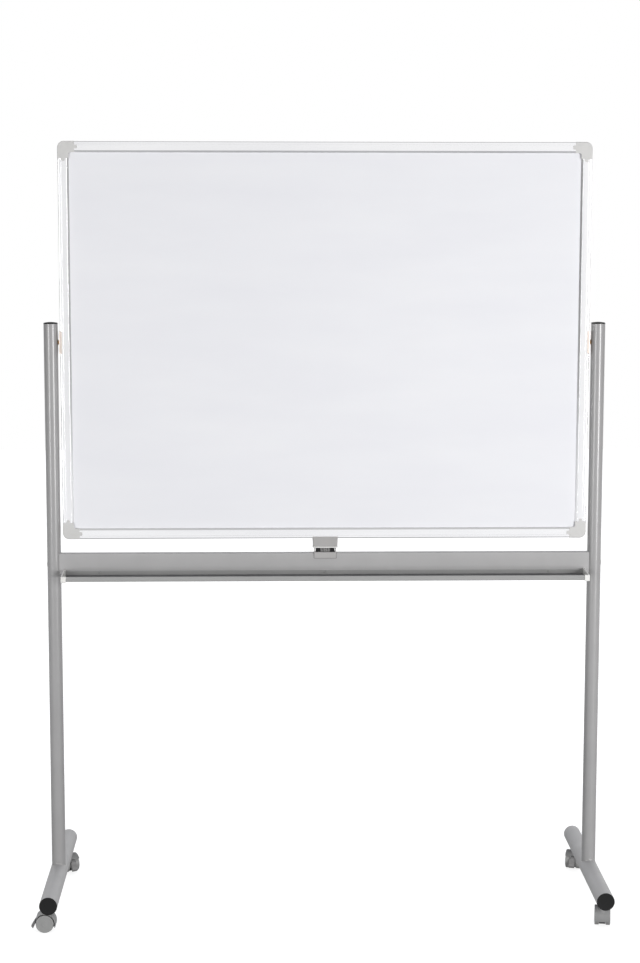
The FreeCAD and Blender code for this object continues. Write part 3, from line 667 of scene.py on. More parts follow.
def cross_head_screw(name: str, radius: float, height: float) -> Workpiece:
    """Pan-head screw at the origin with its head towards +Z and a cross recess.

    Args:
        name: Piece's name.
        radius: Head's radius.
        height: Head's height.

    Returns:
        The screw.
    """
    buried, shank, edge = 3.0, 0.5 * radius, 0.35 * height
    profile = [(-buried, 0.0), (-buried, shank), (0.0, shank), (0.0, radius), (edge, radius)]
    for degrees in (30, 50, 70):
        turn = math.radians(degrees)
        profile.append((edge + (height - edge) * math.sin(turn), radius * math.cos(turn) ** 0.5))
    screw = Workpiece.turned(name, (0, 0, 0), AXES["Z"], profile + [(height, 0.0)], 32)
    arm, slot, floor = 0.55 * radius, 0.13 * radius, 0.4 * height
    for reach, half in ((arm, slot), (slot, arm)):
        screw.cut(Workpiece.box("recess", (-reach, -half, floor), (reach, half, 2 * height)))
    return screw.polish()


def fit_screws(
    head: tuple[float, float], finish: Finish, body: Body, node: str, seats: dict[str, tuple[Vector, Point]]
) -> None:
    """Model one screw and copy it to each of its seats.

    Args:
        head: Head's radius and height.
        finish: Screws' finish.
        body: Body that they ride on.
        node: CAD node that they stand for.
        seats: Direction of the head and place of each screw, by the screw's name.
    """
    pattern = cross_head_screw("screw_pattern", *head)
    for name, (facing, seat) in seats.items():
        move = Matrix.Translation(seat) @ facing.to_track_quat("Z", "Y").to_matrix().to_4x4()
        pattern.copy(name, move).dress(finish, body, node)
    bpy.data.objects.remove(pattern.obj)


# Board

@dataclass
class Panel:
    """Honeycomb core with a white enamelled writing sheet on each side."""

    sheets: tuple[str, str] = ("front_writing_sheet", "back_writing_sheet")

    def dress(self) -> None:
        """Dress the CAD panel, whose edges lie inside the rails."""
        for sheet in self.sheets:
            dress_node(sheet, WRITING_ENAMEL)
        dress_node("board_core", HONEYCOMB)


@dataclass
class FrameRails:
    """Anodised rails with a rounded outer edge, a hairline groove and a bevel down to the panel."""

    width: float = 1200.0
    height: float = 900.0
    cap_leg: float = 38.0
    face: float = 25.0
    half_depth: float = 11.0
    seat: float = 10.0
    seat_half: float = 6.15
    edge: tuple[float, float] = (3.0, 7.0)
    groove: tuple[float, float] = (7.0, 8.0)
    groove_depth: float = 0.7
    bevel_start: float = 20.5
    lip: float = 7.2
    crest_round: float = 0.2
    lip_round: float = 0.5

    def section(self) -> list[tuple[float, float]]:
        """Corners of the rail's section.

        Returns:
            Distances in from the outer side and through the board's depth.
        """
        floor = self.half_depth - self.groove_depth
        wide, deep = self.edge
        turns = [math.radians(degrees) for degrees in range(0, 91, 9)]
        side = [(wide * (1 - math.cos(t)), self.half_depth - deep * (1 - math.sin(t))) for t in turns]
        side += [
            (self.groove[0], self.half_depth),
            (self.groove[0], floor),
            (self.groove[1], floor),
            (self.groove[1], self.half_depth),
            (self.bevel_start, self.half_depth),
            (self.face, self.lip),
            (self.face, self.seat_half),
            (self.seat, self.seat_half),
        ]
        return side + [(u, -v) for u, v in reversed(side)]

    def rail(self, name: str, place: Callable[[float, float], Point], run: Point) -> Workpiece:
        """Draw the section, round its corners and extrude it.

        Args:
            name: Piece's name.
            place: Point in space of a corner of the section.
            run: Rail's direction and length.

        Returns:
            The rail.
        """
        rail = Workpiece.outline(name, [place(u, v) for u, v in self.section()])
        for corner, width, segments in (
            ((self.bevel_start, self.half_depth), self.crest_round, 3),
            ((self.face, self.lip), self.lip_round, 3),
            ((self.groove[0], self.half_depth), self.crest_round, 2),
            ((self.groove[1], self.half_depth), self.crest_round, 2),
        ):
            spots = [place(corner[0], v) for v in (corner[1], -corner[1])]
            rail.corners_at(*spots).round_off(width, segments, corners=True)
        return rail.sweep(run).polish(30)

    def build(self) -> None:
        """Make one rail of each length and turn a copy of it to the opposite side."""
        low = PIVOT.z - self.height / 2
        half = self.width / 2
        end = half - self.cap_leg
        bottom = self.rail("rail_bottom", lambda u, v: (-end, v, low + u), (2 * end, 0, 0))
        top = bottom.copy("rail_top", half_turn("X", PIVOT))
        foot = low + self.cap_leg
        run = self.height - 2 * self.cap_leg
        left = self.rail("rail_left", lambda u, v: (-half + u, v, foot), (0, 0, run))
        right = left.copy("rail_right", half_turn("Z"))
        bottom.dress(RAIL_ALONG_X, Body.BOARD, "frame_rail_bottom")
        top.dress(RAIL_ALONG_X, Body.BOARD, "frame_rail_top")
        left.dress(RAIL_ALONG_Z, Body.BOARD, "frame_rail_left")
        right.dress(RAIL_ALONG_Z, Body.BOARD, "frame_rail_right")


@dataclass
class CornerCaps:
    """Moulded caps over the corners of the frame, each with a nib lying on the two rails' crests."""

    half_width: float = 600.0
    top: float = 1755.0
    leg: float = 38.0
    face: float = 25.0
    half_depth: float = 11.8
    rail_half: float = 11.0
    outer_radius: float = 15.0
    inner_radius: float = 5.0
    edge_radius: float = 2.4
    nib: tuple[float, float, float] = (8.25, 16.75, 44.5)
    nib_root: float = 36.0
    nib_radius: float = 2.8
    seat: float = 10.0
    seat_half: float = 6.15

    def spot(self, u: float, y: float, w: float) -> Point:
        """Point given in from the board's right side, through its depth and down from its top."""
        return self.half_width - u, y, self.top - w

    def slab(self, name: str, corners: Sequence[tuple[float, float]], depth: float) -> Workpiece:
        """Flat outline parallel to the board, at a depth."""
        return Workpiece.outline(name, [self.spot(u, depth, w) for u, w in corners])

    def cap(self) -> Workpiece:
        """Model the cap of the top right corner.

        Returns:
            The cap.
        """
        depth = (0, 2 * self.half_depth, 0)
        corners = [(0, 0), (self.leg, 0), (self.leg, self.face), (self.face, self.face)]
        corners += [(self.face, self.leg), (0, self.leg)]
        cap = self.slab("corner_cap_moulding_top_right", corners, -self.half_depth)
        for at, radius, segments in ((0.0, self.outer_radius, 16), (self.face, self.inner_radius, 8)):
            cap.corners_at(self.spot(at, -self.half_depth, at)).round_off(radius, segments, corners=True)
        cap.sweep(depth)
        side, ceiling = self.half_width - NEAR, self.top - NEAR
        reach = self.outer_radius

        def on_rim(at: Vector, _: Vector) -> bool:
            """Whether an edge lies on the front or back of the cap's outer side."""
            corner = at - Vector((self.half_width - reach, at.y, self.top - reach))
            on_arc = corner.x > 0 and corner.z > 0 and corner.length > reach - 0.5
            return abs(at.y) > self.half_depth - NEAR and (at.x > side or at.z > ceiling or on_arc)

        cap.pick(Pick.EDGE, on_rim).round_off(self.edge_radius, 5)
        far = self.leg + PAST
        cap.cut(
            Workpiece.box(
                "panel_slot",
                self.spot(far, -self.seat_half, far),
                self.spot(self.seat, self.seat_half, self.seat),
            )
        )
        near, wide, tip = self.nib
        root = self.nib_root
        for swap in (False, True):
            arm = [(root, near), (tip, near), (tip, wide), (root, wide)]
            for low in (-self.half_depth, self.rail_half):
                shape = [(w, u) if swap else (u, w) for u, w in arm]
                nib = self.slab("nib", shape, low)
                ends = [self.spot(u, low, w) for u, w in shape[1:3]]
                nib.corners_at(*ends).round_off(self.nib_radius, 6, corners=True)
                cap.unite(nib.sweep((0, self.half_depth - self.rail_half, 0)))
        return cap.soften(0.35).polish()

    def build(self) -> None:
        """Make one cap and turn copies of it to the other corners."""
        first = self.cap()
        turns = {
            "top_left": half_turn("Z"),
            "bottom_right": half_turn("X", PIVOT),
            "bottom_left": half_turn("Y", PIVOT),
        }
        for corner, turn in turns.items():
            copy = first.copy("corner_cap_moulding_" + corner, turn)
            copy.dress(CORNER_ABS, Body.BOARD, "corner_cap_" + corner)
        first.dress(CORNER_ABS, Body.BOARD, "corner_cap_top_right")


@dataclass
class PivotSet:
    """Pressed plates on the side rails, turned spacers between them and the posts, and the screws."""

    half_width: float = 600.0
    rail_half: float = 11.0
    plate_height: float = 50.0
    plate_face: float = 602.0
    flange_tip: float = 595.5
    flange: float = 1.2
    bend: float = 1.5
    spacer: tuple[float, float] = (602.15, 605.35)
    spacer_radius: float = 5.75
    neck_radius: float = 4.85
    washer: tuple[float, float] = (0.8, 0.2)
    screw_offset: float = 16.0
    screw_head: tuple[float, float] = (3.0, 1.6)

    def plate(self) -> Workpiece:
        """Model the right plate: a channel round the rail's outer edge.

        Returns:
            The plate.
        """
        outer = self.rail_half + self.flange
        low = PIVOT.z - self.plate_height / 2
        side = [
            (self.plate_face, outer),
            (self.flange_tip, outer),
            (self.flange_tip, self.rail_half + CLEAR),
            (self.half_width + CLEAR, self.rail_half + CLEAR),
        ]
        corners = side + [(x, -y) for x, y in reversed(side)]
        plate = Workpiece.outline("pivot_channel_right", [(x, y, low) for x, y in corners])
        plate.pick(Pick.CORNER, lambda at, _: at.x > self.plate_face - NEAR)
        plate.round_off(self.bend, 5, corners=True)
        plate.sweep((0, 0, self.plate_height))
        return plate.soften(0.25).polish()

    def spacer_ring(self) -> Workpiece:
        """Model the right spacer as a turned bush with a washer on each end.

        Returns:
            The spacer.
        """
        start, end = self.spacer
        length = end - start
        (washer, edge), rim = self.washer, self.spacer_radius
        profile = [(0, 0), (0, rim - edge), (edge, rim), (washer - edge, rim), (washer, rim - edge)]
        profile.append((washer, self.neck_radius))
        profile += [(length - along, radius) for along, radius in reversed(profile)]
        return Workpiece.turned("pivot_bush_right", (start, 0, PIVOT.z), AXES["X"], profile, 48).polish(50)

    def build(self) -> None:
        """Make the right side's pieces and turn copies to the left side."""
        plate = self.plate()
        twin = plate.copy("pivot_channel_left", half_turn("Z"))
        twin.dress(PASSIVATED_ZINC, Body.BOARD, "pivot_plate_left")
        plate.dress(PASSIVATED_ZINC, Body.BOARD, "pivot_plate_right")
        bush = self.spacer_ring()
        bush.copy("pivot_bush_left", half_turn("Z")).dress(BRASS, Body.STAND)
        bush.dress(BRASS, Body.STAND, "pivot_spacers")
        seats = {}
        for side, way in (("right", 1), ("left", -1)):
            for level, up in (("low", -self.screw_offset), ("high", self.screw_offset)):
                seat = (way * self.plate_face, 0, PIVOT.z + up)
                seats[f"plate_screw_{side}_{level}"] = (way * AXES["X"], seat)
        fit_screws(self.screw_head, ZINC, Body.BOARD, "pivot_plate_screws", seats)
        for node in ("pivot_bolts", "pivot_nuts"):
            dress_node(node, ZINC)


# Stand

@dataclass
class Posts:
    """Powder-coated tubes standing on the feet, with black plugs in their tops."""

    x: float = 621.5
    radius: float = 16.0
    bore: float = 14.5
    top: float = 1347.0
    foot_axis: float = 70.0
    foot_radius: float = 20.0
    foot_play: float = 0.05
    crossbar_z: float = 797.0
    access_radius: float = 7.5
    cap_rim: float = 2.0
    cap_edge: float = 0.7
    cap_dome: float = 2.0
    cap_depth: float = 14.0
    cap_play: float = 0.2
    dome_shares: tuple[float, ...] = (0.985, 0.95, 0.85, 0.7, 0.5, 0.25, 0.0)
    plug_sink: float = 0.15
    plug_edge: tuple[tuple[float, float], ...] = ((0, 0.15), (2.4, 0.15), (2.7, 0.3), (2.9, 0.8), (3, 1.6))
    bead: float = 0.9
    bead_offset: float = 0.4
    bead_ripples: tuple[int, float] = (45, 0.22)

    def tube(self) -> Workpiece:
        """Model the right post, coped over its foot and bored for the frame bolt.

        Returns:
            The post.
        """
        foot = (self.x, 0, self.foot_axis)
        tube = Workpiece.bar("post_tube_right", foot, (self.x, 0, self.top), self.radius)
        tube.cut(Workpiece.bar("bore", (self.x, 0, 0), (self.x, 0, self.top + PAST), self.bore))
        saddle = [(self.x, way * 2 * self.foot_radius, self.foot_axis) for way in (-1, 1)]
        tube.cut(Workpiece.bar("saddle", *saddle, self.foot_radius + self.foot_play))
        hole = [(self.x + out, 0, self.crossbar_z) for out in (0, 2 * self.radius)]
        tube.cut(Workpiece.bar("access", *hole, self.access_radius, 48))
        return tube.soften(0.3).polish()

    def cap(self) -> Workpiece:
        """Model the right post's domed plug.

        Returns:
            The plug.
        """
        plug, end = self.bore - self.cap_play, -self.cap_depth
        profile = [(end, 0), (end, plug), (CLEAR, plug), (CLEAR, self.radius)]
        profile.append((self.cap_rim - self.cap_edge, self.radius))
        sphere = (self.radius**2 + self.cap_dome**2) / (2 * self.cap_dome)
        for share in self.dome_shares:
            out = share * self.radius
            profile.append((self.cap_rim + self.cap_dome - sphere + math.sqrt(sphere**2 - out**2), out))
        return Workpiece.turned("post_plug_right", (self.x, 0, self.top), AXES["Z"], profile, 72).polish(50)

    def plug(self) -> Workpiece:
        """Model the plug in the right post's access hole.

        Returns:
            The plug.
        """
        length = self.plug_edge[-1][0]
        side = [(along, self.access_radius - inset) for along, inset in self.plug_edge]
        seat = (self.x + self.radius - self.plug_sink - length, 0, self.crossbar_z)
        plug = Workpiece.turned("access_plug_right", seat, AXES["X"], [(0, 0), *side, (length, 0)], 48)
        return plug.polish(50)

    def weld(self) -> Workpiece:
        """Model the bead round the right post's foot, which dips where the foot curves away.

        Returns:
            The bead.
        """
        Workpiece.clear()
        bpy.ops.mesh.primitive_torus_add(
            location=(self.x * MM, 0, 0),
            major_radius=(self.radius + self.bead_offset) * MM,
            minor_radius=self.bead * MM,
            major_segments=144,
            minor_segments=16,
        )
        bead = Workpiece("weld_bead_right")
        count, ripple = self.bead_ripples
        for vertex in bead.obj.data.vertices:
            out = Vector((vertex.co.x / MM - self.x, vertex.co.y / MM))
            turn = math.atan2(out.y, out.x)
            swell = 1 + ripple * math.sin(count * turn) * max(0.0, vertex.co.z / MM / self.bead)
            across = max(-self.foot_radius, min(self.foot_radius, out.x))
            rise = self.foot_axis + math.sqrt(self.foot_radius**2 - across**2)
            vertex.co.z = vertex.co.z * swell + rise * MM
        return bead.polish(60)

    def build(self) -> None:
        """Make the right post's pieces and turn copies to the left."""
        for piece, finish, nodes in (
            (self.tube(), GLOSS_COAT, {"right": ("post_right",), "left": ("post_left",)}),
            (self.cap(), BLACK_PLASTIC_AND_SHADOW, {"right": ("post_caps",), "left": ()}),
            (self.plug(), LATCH_ABS, {"right": (), "left": ()}),
            (self.weld(), WELD_COAT, {"right": (), "left": ()}),
        ):
            twin = piece.copy(piece.obj.name.replace("right", "left"), half_turn("Z"))
            twin.dress(finish, Body.STAND, *nodes["left"])
            piece.dress(finish, Body.STAND, *nodes["right"])


@dataclass
class Feet:
    """Round tubes lying front to back, with black plugs in their ends."""

    x: float = 621.5
    half_length: float = 256.0
    radius: float = 20.0
    bore: float = 18.5
    axis_height: float = 70.0
    cap_rim: float = 2.0
    cap_edge: float = 0.5
    cap_depth: float = 12.0
    cap_play: float = 0.2
    cap_step: tuple[float, float, float] = (3.2, 3.6, 0.35)

    def cap(self) -> Workpiece:
        """Model the right foot's front plug, with a shallow moulded step in its face.

        Returns:
            The plug.
        """
        rim, plug, edge = self.radius, self.bore - self.cap_play, self.cap_edge
        deep, end = self.cap_rim, -self.cap_depth
        start, stop, drop = self.cap_step
        profile = [(end, 0), (end, plug), (CLEAR, plug), (CLEAR, rim), (deep - edge, rim)]
        profile += [(deep - 0.3 * edge, rim - 0.3 * edge), (deep, rim - edge), (deep, rim - start)]
        profile += [(deep - drop, rim - stop), (deep - drop, 0)]
        seat = (self.x, -self.half_length, self.axis_height)
        return Workpiece.turned("foot_plug_front_right", seat, -AXES["Y"], profile, 72).polish(50)

    def build(self) -> None:
        """Dress the CAD tubes and put a plug in each end."""
        for node in ("foot_left", "foot_right"):
            dress_node(node, MATT_COAT)
        first = self.cap()
        across = Matrix.Translation((-2 * self.x, 0, 0))
        back = half_turn("Z", Vector((self.x, 0, 0)))
        for name, move, nodes in (
            ("front_left", across, ()),
            ("back_right", back, ("foot_caps_back",)),
            ("back_left", across @ back, ()),
        ):
            first.copy("foot_plug_" + name, move).dress(BLACK_PLASTIC_AND_SHADOW, Body.STAND, *nodes)
        first.dress(BLACK_PLASTIC_AND_SHADOW, Body.STAND, "foot_caps_front")


@dataclass
class Crossbar:
    """Rectangular tube between the posts, with its hidden inserts and bolts."""

    def dress(self) -> None:
        """Dress the CAD crossbar and its fixings."""
        dress_node("crossbar", MATT_COAT)
        dress_node("crossbar_inserts", ZINC)
        dress_node("crossbar_bolts", ZINC)


@dataclass
class PenTray:
    """Folded sheet tray on the crossbar's front, with a moulded cap at each end."""

    half_length: float = 594.65
    back: float = -10.0
    front: float = -92.0
    floor: float = 772.0
    sheet: float = 1.5
    lip_top: float = 782.0
    flange_top: float = 781.5
    hem: tuple[float, float] = (3.4, 2.8)
    bend: float = 2.0
    inner_bend: float = 0.6
    hem_round: float = 1.3
    hem_tip: float = 0.5
    flange_round: float = 0.4
    cap_plate: float = 3.5
    cap_sleeve: float = 7.5
    cap_wall: float = 1.5
    cap_above: float = 0.8
    cap_below: float = 2.4
    cap_back_rise: float = 2.3
    cap_radius: float = 3.0
    gap: float = 0.15
    screw_x: tuple[float, ...] = (-516.0, 0.0, 516.0)
    screw_z: float = 777.8
    screw_head: tuple[float, float] = (2.8, 2.0)

    def tray(self) -> Workpiece:
        """Draw the folded section with its bends and extrude it.

        Returns:
            The tray.
        """
        under = self.floor - self.sheet
        hem_back = self.front + self.hem[0]
        hem_low = self.lip_top - self.hem[1]
        inner = self.front + self.sheet
        wall = self.back - self.sheet
        corners = {
            (self.back, self.flange_top): self.flange_round,
            (self.back, under): self.bend,
            (self.front, under): self.bend,
            (self.front, self.lip_top): self.hem_round,
            (hem_back, self.lip_top): self.hem_round,
            (hem_back, hem_low): self.hem_tip,
            (inner, hem_low): 0.0,
            (inner, self.floor): self.inner_bend,
            (wall, self.floor): self.inner_bend,
            (wall, self.flange_top): self.flange_round,
        }
        tray = Workpiece.outline("pen_tray_folded", [(-self.half_length, y, z) for y, z in corners])
        for (y, z), radius in corners.items():
            if radius:
                tray.corners_at((-self.half_length, y, z)).round_off(radius, 5, corners=True)
        return tray.sweep((2 * self.half_length, 0, 0)).polish(30)

    def cap(self) -> Workpiece:
        """Model the right end cap: a plate and a sleeve over the lip.

        Returns:
            The cap.
        """
        back = self.back - self.gap
        nose = self.front - self.cap_wall
        top = self.lip_top + self.cap_above
        bottom = self.floor - self.sheet - self.cap_below
        inside = self.half_length - self.cap_sleeve
        joint = self.half_length + self.gap
        sleeve_back = self.front + self.hem[0]

        def slab(name: str, x: float, tail: float, tail_top: float, run: float) -> Workpiece:
            """Plate with a rounded nose, from x along run."""
            corners = [(tail, bottom), (nose, bottom), (nose, top), (tail, tail_top)]
            plate = Workpiece.outline(name, [(x, y, z) for y, z in corners])
            plate.pick(Pick.CORNER, lambda at, _: at.y < nose + NEAR)
            return plate.round_off(self.cap_radius, 8, corners=True).sweep((run, 0, 0))

        cap = slab("tray_end_right", joint, back, top + self.cap_back_rise, self.cap_plate)
        cap.unite(slab("sleeve", inside, sleeve_back, top, self.cap_sleeve + self.gap + OVERLAP))
        low = (inside - PAST, self.front - self.gap / 2, self.floor - self.sheet - self.gap / 2)
        cap.cut(Workpiece.box("lip_space", low, (joint, sleeve_back + PAST, self.lip_top + self.gap / 2)))
        return cap.soften(0.6, 3).polish()

    def build(self) -> None:
        """Make the tray, both caps and the screws in the trough's back."""
        self.tray().dress(TRAY_COAT, Body.STAND, "pen_tray")
        cap = self.cap()
        mirror = Matrix.Scale(-1, 4, AXES["X"])
        twin = cap.copy("tray_end_left", mirror)
        twin.mend().polish().dress(TRAY_CAP_ABS, Body.STAND, "tray_cap_left")
        cap.dress(TRAY_CAP_ABS, Body.STAND, "tray_cap_right")
        seats = {
            "tray_screw_" + name: (-AXES["Y"], (x, self.back - self.sheet, self.screw_z))
            for name, x in zip(("left", "middle", "right"), self.screw_x)
        }
        fit_screws(self.screw_head, TRAY_COAT, Body.STAND, "tray_screws", seats)


# Latch

@dataclass
class Latch:
    """Moulded housing under the board, the black slider in it and its keeper on the crossbar."""

    board_low: float = 855.0
    rail_half: float = 11.0
    half_width: float = 29.2
    foot_half_width: float = 28.2
    half_depth: float = 13.0
    bottom: float = 834.0
    top: float = 859.5
    case_round: float = 2.0
    neck: tuple[float, float] = (0.8, 0.7)
    lip: float = 4.0
    lip_gap: float = 0.9
    lip_overhang: float = 0.5
    lip_half_depth: float = 13.8
    lip_round: float = 2.2
    lip_arch: float = 1.4
    cavity: tuple[float, float, float] = (21.9, 11.2, 851.4)
    slider_half: float = 21.5
    slider_half_depth: float = 7.0
    slider_low: float = 824.15
    slider_top: float = 843.0
    tongue: tuple[float, float, float] = (9.2, 3.6, 816.6)
    tongue_round: float = 1.6
    grip_half: float = 11.0
    grip_rise: float = 3.8
    grip_margin: float = 0.4
    grip_ribs: int = 4
    rib_depth: float = 1.7
    rib_fullness: float = 0.6
    spring: tuple[float, float, float] = (835.0, 851.4, 3.6)
    spring_wire: float = 0.45
    pocket_radius: float = 4.3
    spring_turns: int = 7
    keeper_half: float = 25.0
    keeper_inner: float = 10.15
    keeper_outer: float = 12.15
    keeper_low: float = 810.0
    keeper_roof: float = 822.15
    keeper_top: float = 823.75
    ear: tuple[float, float, float] = (2.4, 8.0, 832.8)
    slot: tuple[float, float] = (10.0, 4.4)
    top_round: float = 1.5
    ear_round: float = 2.8
    skirt_round: float = 1.6
    shadow_border: float = 1.2
    shadow_sheet: float = 0.6
    shadow_start: float = 10.02
    shadow_top: float = 821.8
    keeper_screw_x: tuple[float, float] = (-15.0, 15.0)
    keeper_screw_z: float = 816.0
    keeper_screw_head: tuple[float, float] = (2.8, 1.8)
    housing_screw_x: tuple[float, float] = (-25.3, 25.3)
    housing_screw_head: tuple[float, float] = (2.3, 1.5)

    def housing(self) -> Workpiece:
        """Model the housing: a box that narrows downwards, straddles the rail and is open below.

        Returns:
            The housing above its lip.
        """
        low = self.bottom + self.lip
        deep = self.half_depth
        body = Workpiece.box(
            "latch_case", (-self.half_width, -deep, low), (self.half_width, deep, self.top)
        )
        body.pick(Pick.FACE, lambda at, way: way.z < -ALONG)
        narrow = self.foot_half_width / self.half_width
        body.resize((narrow, 1, 1), (0, 0, low))
        body.pick(Pick.EDGE, lambda at, way: abs(way.z) > ALONG).round_off(self.case_round, 5)
        inset, drop = self.neck
        body.pick(Pick.FACE, lambda at, way: way.z < -ALONG).inset(inset).extrude((0, 0, -drop))
        past = self.half_width + PAST
        rail = [(-past, -self.rail_half, self.board_low), (past, self.rail_half, self.top + PAST)]
        body.cut(Workpiece.box("rail_space", *rail))
        wide, out, ceiling = self.cavity
        body.cut(Workpiece.box("cavity", (-wide, -out, self.bottom - PAST), (wide, out, ceiling)))
        return body.soften(0.5, 3).polish()

    def lip_band(self) -> Workpiece:
        """Model the lip round the housing's mouth, with an arched front and back, coloured light as a painted
        highlight.

        Returns:
            The lip.
        """
        wide, deep = self.foot_half_width + self.lip_overhang, self.lip_half_depth
        high = self.bottom + self.lip - self.lip_gap
        band = Workpiece.box("latch_case_lip", (-wide, -deep, self.bottom), (wide, deep, high))
        band.pick(Pick.EDGE, lambda at, way: abs(way.z) > ALONG).round_off(self.lip_round, 5)
        band.pick(Pick.EDGE, lambda at, way: at.z > high - NEAR).round_off(self.lip_arch, 4)
        cut_wide, cut_deep, _ = self.cavity
        low, roof = self.bottom - PAST, self.bottom + self.lip + PAST
        band.cut(Workpiece.box("mouth", (-cut_wide, -cut_deep, low), (cut_wide, cut_deep, roof)))
        return band.soften(0.4).polish()

    def slider_block(self) -> Workpiece:
        """Model the black slider and its tongue.

        Returns:
            The slider.
        """
        deep = self.slider_half_depth
        low = (-self.slider_half, -deep, self.slider_low)
        slider = Workpiece.box("latch_slide_block", low, (self.slider_half, deep, self.slider_top))
        wide, thick, tip = self.tongue
        root = self.slider_low + OVERLAP
        tongue = Workpiece.box("tongue", (-wide, -thick, tip), (wide, thick, root))
        tongue.pick(Pick.EDGE, lambda at, way: at.z < tip + NEAR and abs(way.x) > ALONG)
        slider.unite(tongue.round_off(self.tongue_round, 4))
        pocket = [(0, 0, self.spring[0]), (0, 0, self.slider_top + PAST)]
        slider.cut(Workpiece.bar("spring_pocket", *pocket, self.pocket_radius, 40))
        return slider.soften(0.6, 3).polish()

    def grip(self) -> Workpiece:
        """Model the front grip: a shallow arc of rounded upright ribs.

        Returns:
            The grip.
        """
        low, high = self.slider_low + self.grip_margin, self.bottom - self.grip_margin
        half, rise, deep = self.grip_half, self.grip_rise, self.slider_half_depth
        radius = (half**2 + rise**2) / (2 * rise)
        per_rib = 10
        steps = per_rib * self.grip_ribs
        corners = [(half, -deep + CLEAR, low), (-half, -deep + CLEAR, low)]
        for i in range(steps + 1):
            x = -half + 2 * half * i / steps
            crest = radius - rise - math.sqrt(radius**2 - x**2)
            wave = abs(math.sin(math.pi * i / per_rib))
            fade = min(1.0, (half - abs(x)) / 2)
            dip = self.rib_depth * (1 - wave**self.rib_fullness) * fade
            corners.append((x, -deep + crest + dip, low))
        grip = Workpiece.outline("latch_grip_front", corners[:2] + corners[3:-1])
        return grip.sweep((0, 0, high - low)).soften(0.25).polish(50)

    def coil(self) -> Workpiece:
        """Model the return spring as a wound wire.

        Returns:
            The spring.
        """
        low, high, radius = self.spring
        Workpiece.clear()
        bpy.ops.mesh.primitive_circle_add(
            vertices=10,
            radius=self.spring_wire * MM,
            fill_type="NGON",
            location=(radius * MM, 0, (low + self.spring_wire) * MM),
            rotation=(math.pi / 2, 0, 0),
        )
        wire = Workpiece("latch_return_coil")
        pitch = (high - low - 2 * self.spring_wire) / self.spring_turns
        wire.apply(
            "SCREW",
            angle=2 * math.pi,
            screw_offset=pitch * MM,
            iterations=self.spring_turns,
            steps=24,
            render_steps=24,
            use_merge_vertices=True,
        )
        return wire.mend().polish(60)

    def keeper(self) -> Workpiece:
        """Model the keeper: a saddle over the crossbar with an ear at each end and the tongue's slot.

        Returns:
            The keeper.
        """
        side = [
            (-self.keeper_outer, self.keeper_low),
            (-self.keeper_outer, self.keeper_top),
            (self.keeper_outer, self.keeper_top),
            (self.keeper_outer, self.keeper_low),
            (self.keeper_inner, self.keeper_low),
            (self.keeper_inner, self.keeper_roof),
            (-self.keeper_inner, self.keeper_roof),
            (-self.keeper_inner, self.keeper_low),
        ]
        keeper = Workpiece.outline("latch_saddle", [(-self.keeper_half, y, z) for y, z in side])
        keeper.pick(Pick.CORNER, lambda at, _: at.z > self.keeper_top - NEAR)
        keeper.round_off(self.top_round, 4, corners=True)
        keeper.sweep((2 * self.keeper_half, 0, 0))
        thick, deep, ear_top = self.ear
        for way in (-1, 1):
            ends = sorted((way * self.keeper_half, way * (self.keeper_half - thick)))
            low = (ends[0], -deep, self.keeper_roof + OVERLAP)
            ear = Workpiece.box("ear", low, (ends[1], deep, ear_top))
            ear.pick(Pick.EDGE, lambda at, vec: at.z > ear_top - NEAR and abs(vec.x) > ALONG)
            keeper.unite(ear.round_off(self.ear_round, 5))
        wide, out = self.slot
        low, high = self.keeper_low - PAST, self.keeper_top + PAST
        keeper.cut(Workpiece.box("slot", (-wide, -out, low), (wide, out, high)))
        face, shoulder = self.keeper_outer - NEAR, self.keeper_top - self.top_round - OVERLAP
        keeper.pick(Pick.EDGE, lambda at, _: abs(at.y) > face and at.z < shoulder)
        keeper.round_off(self.skirt_round, 4)
        return keeper.soften(0.3).polish()

    def pad(self) -> Workpiece:
        """Model the thin dark strip behind the keeper's front skirt, a painted shadow that shows as a border
        round it.

        Returns:
            The pad.
        """
        wide = self.keeper_half + self.shadow_border
        low = (-wide, -self.shadow_start - self.shadow_sheet, self.keeper_low - self.shadow_border)
        pad = Workpiece.box("keeper_shadow_strip_front", low, (wide, -self.shadow_start, self.shadow_top))
        pad.pick(Pick.EDGE, lambda at, way: abs(way.y) > ALONG and at.z < self.keeper_low)
        return pad.round_off(self.shadow_border, 4).polish()

    def build(self) -> None:
        """Make and dress the housing, slider, spring, keeper and their screws."""
        self.housing().dress(LATCH_ABS, Body.BOARD, "latch_housing")
        self.lip_band().dress(LATCH_LIP_HIGHLIGHT_ABS, Body.BOARD)
        self.slider_block().dress(BLACK_PLASTIC_AND_SHADOW, Body.LATCH, "latch_slider")
        grip = self.grip()
        grip.copy("latch_grip_back", half_turn("Z")).dress(GRIP_AND_SHADOW_ABS, Body.LATCH)
        grip.dress(GRIP_AND_SHADOW_ABS, Body.LATCH, "latch_grips")
        self.keeper().dress(KEEPER_ABS, Body.STAND, "latch_keeper")
        # Dark strips round the keeper's skirt: a painted shadow line.
        pad = self.pad()
        pad.copy("keeper_shadow_strip_back", half_turn("Z")).dress(GRIP_AND_SHADOW_ABS, Body.STAND)
        pad.dress(GRIP_AND_SHADOW_ABS, Body.STAND)
        coil = self.coil().dress(ZINC, Body.BOARD, "latch_spring")
        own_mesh(coil.obj)
        for node, head, body, facing, seats in (
            ("keeper_screws", self.keeper_screw_head, Body.STAND, AXES["Y"],
             [(x, self.keeper_outer, self.keeper_screw_z) for x in self.keeper_screw_x]),
            ("latch_housing_screws", self.housing_screw_head, Body.BOARD, -AXES["Z"],
             [(x, 0, self.bottom + self.housing_screw_head[1]) for x in self.housing_screw_x]),
        ):
            named = {f"{node}_{side}": (facing, seat) for side, seat in zip(("left", "right"), seats)}
            fit_screws(head, ZINC, body, node, named)


# Casters

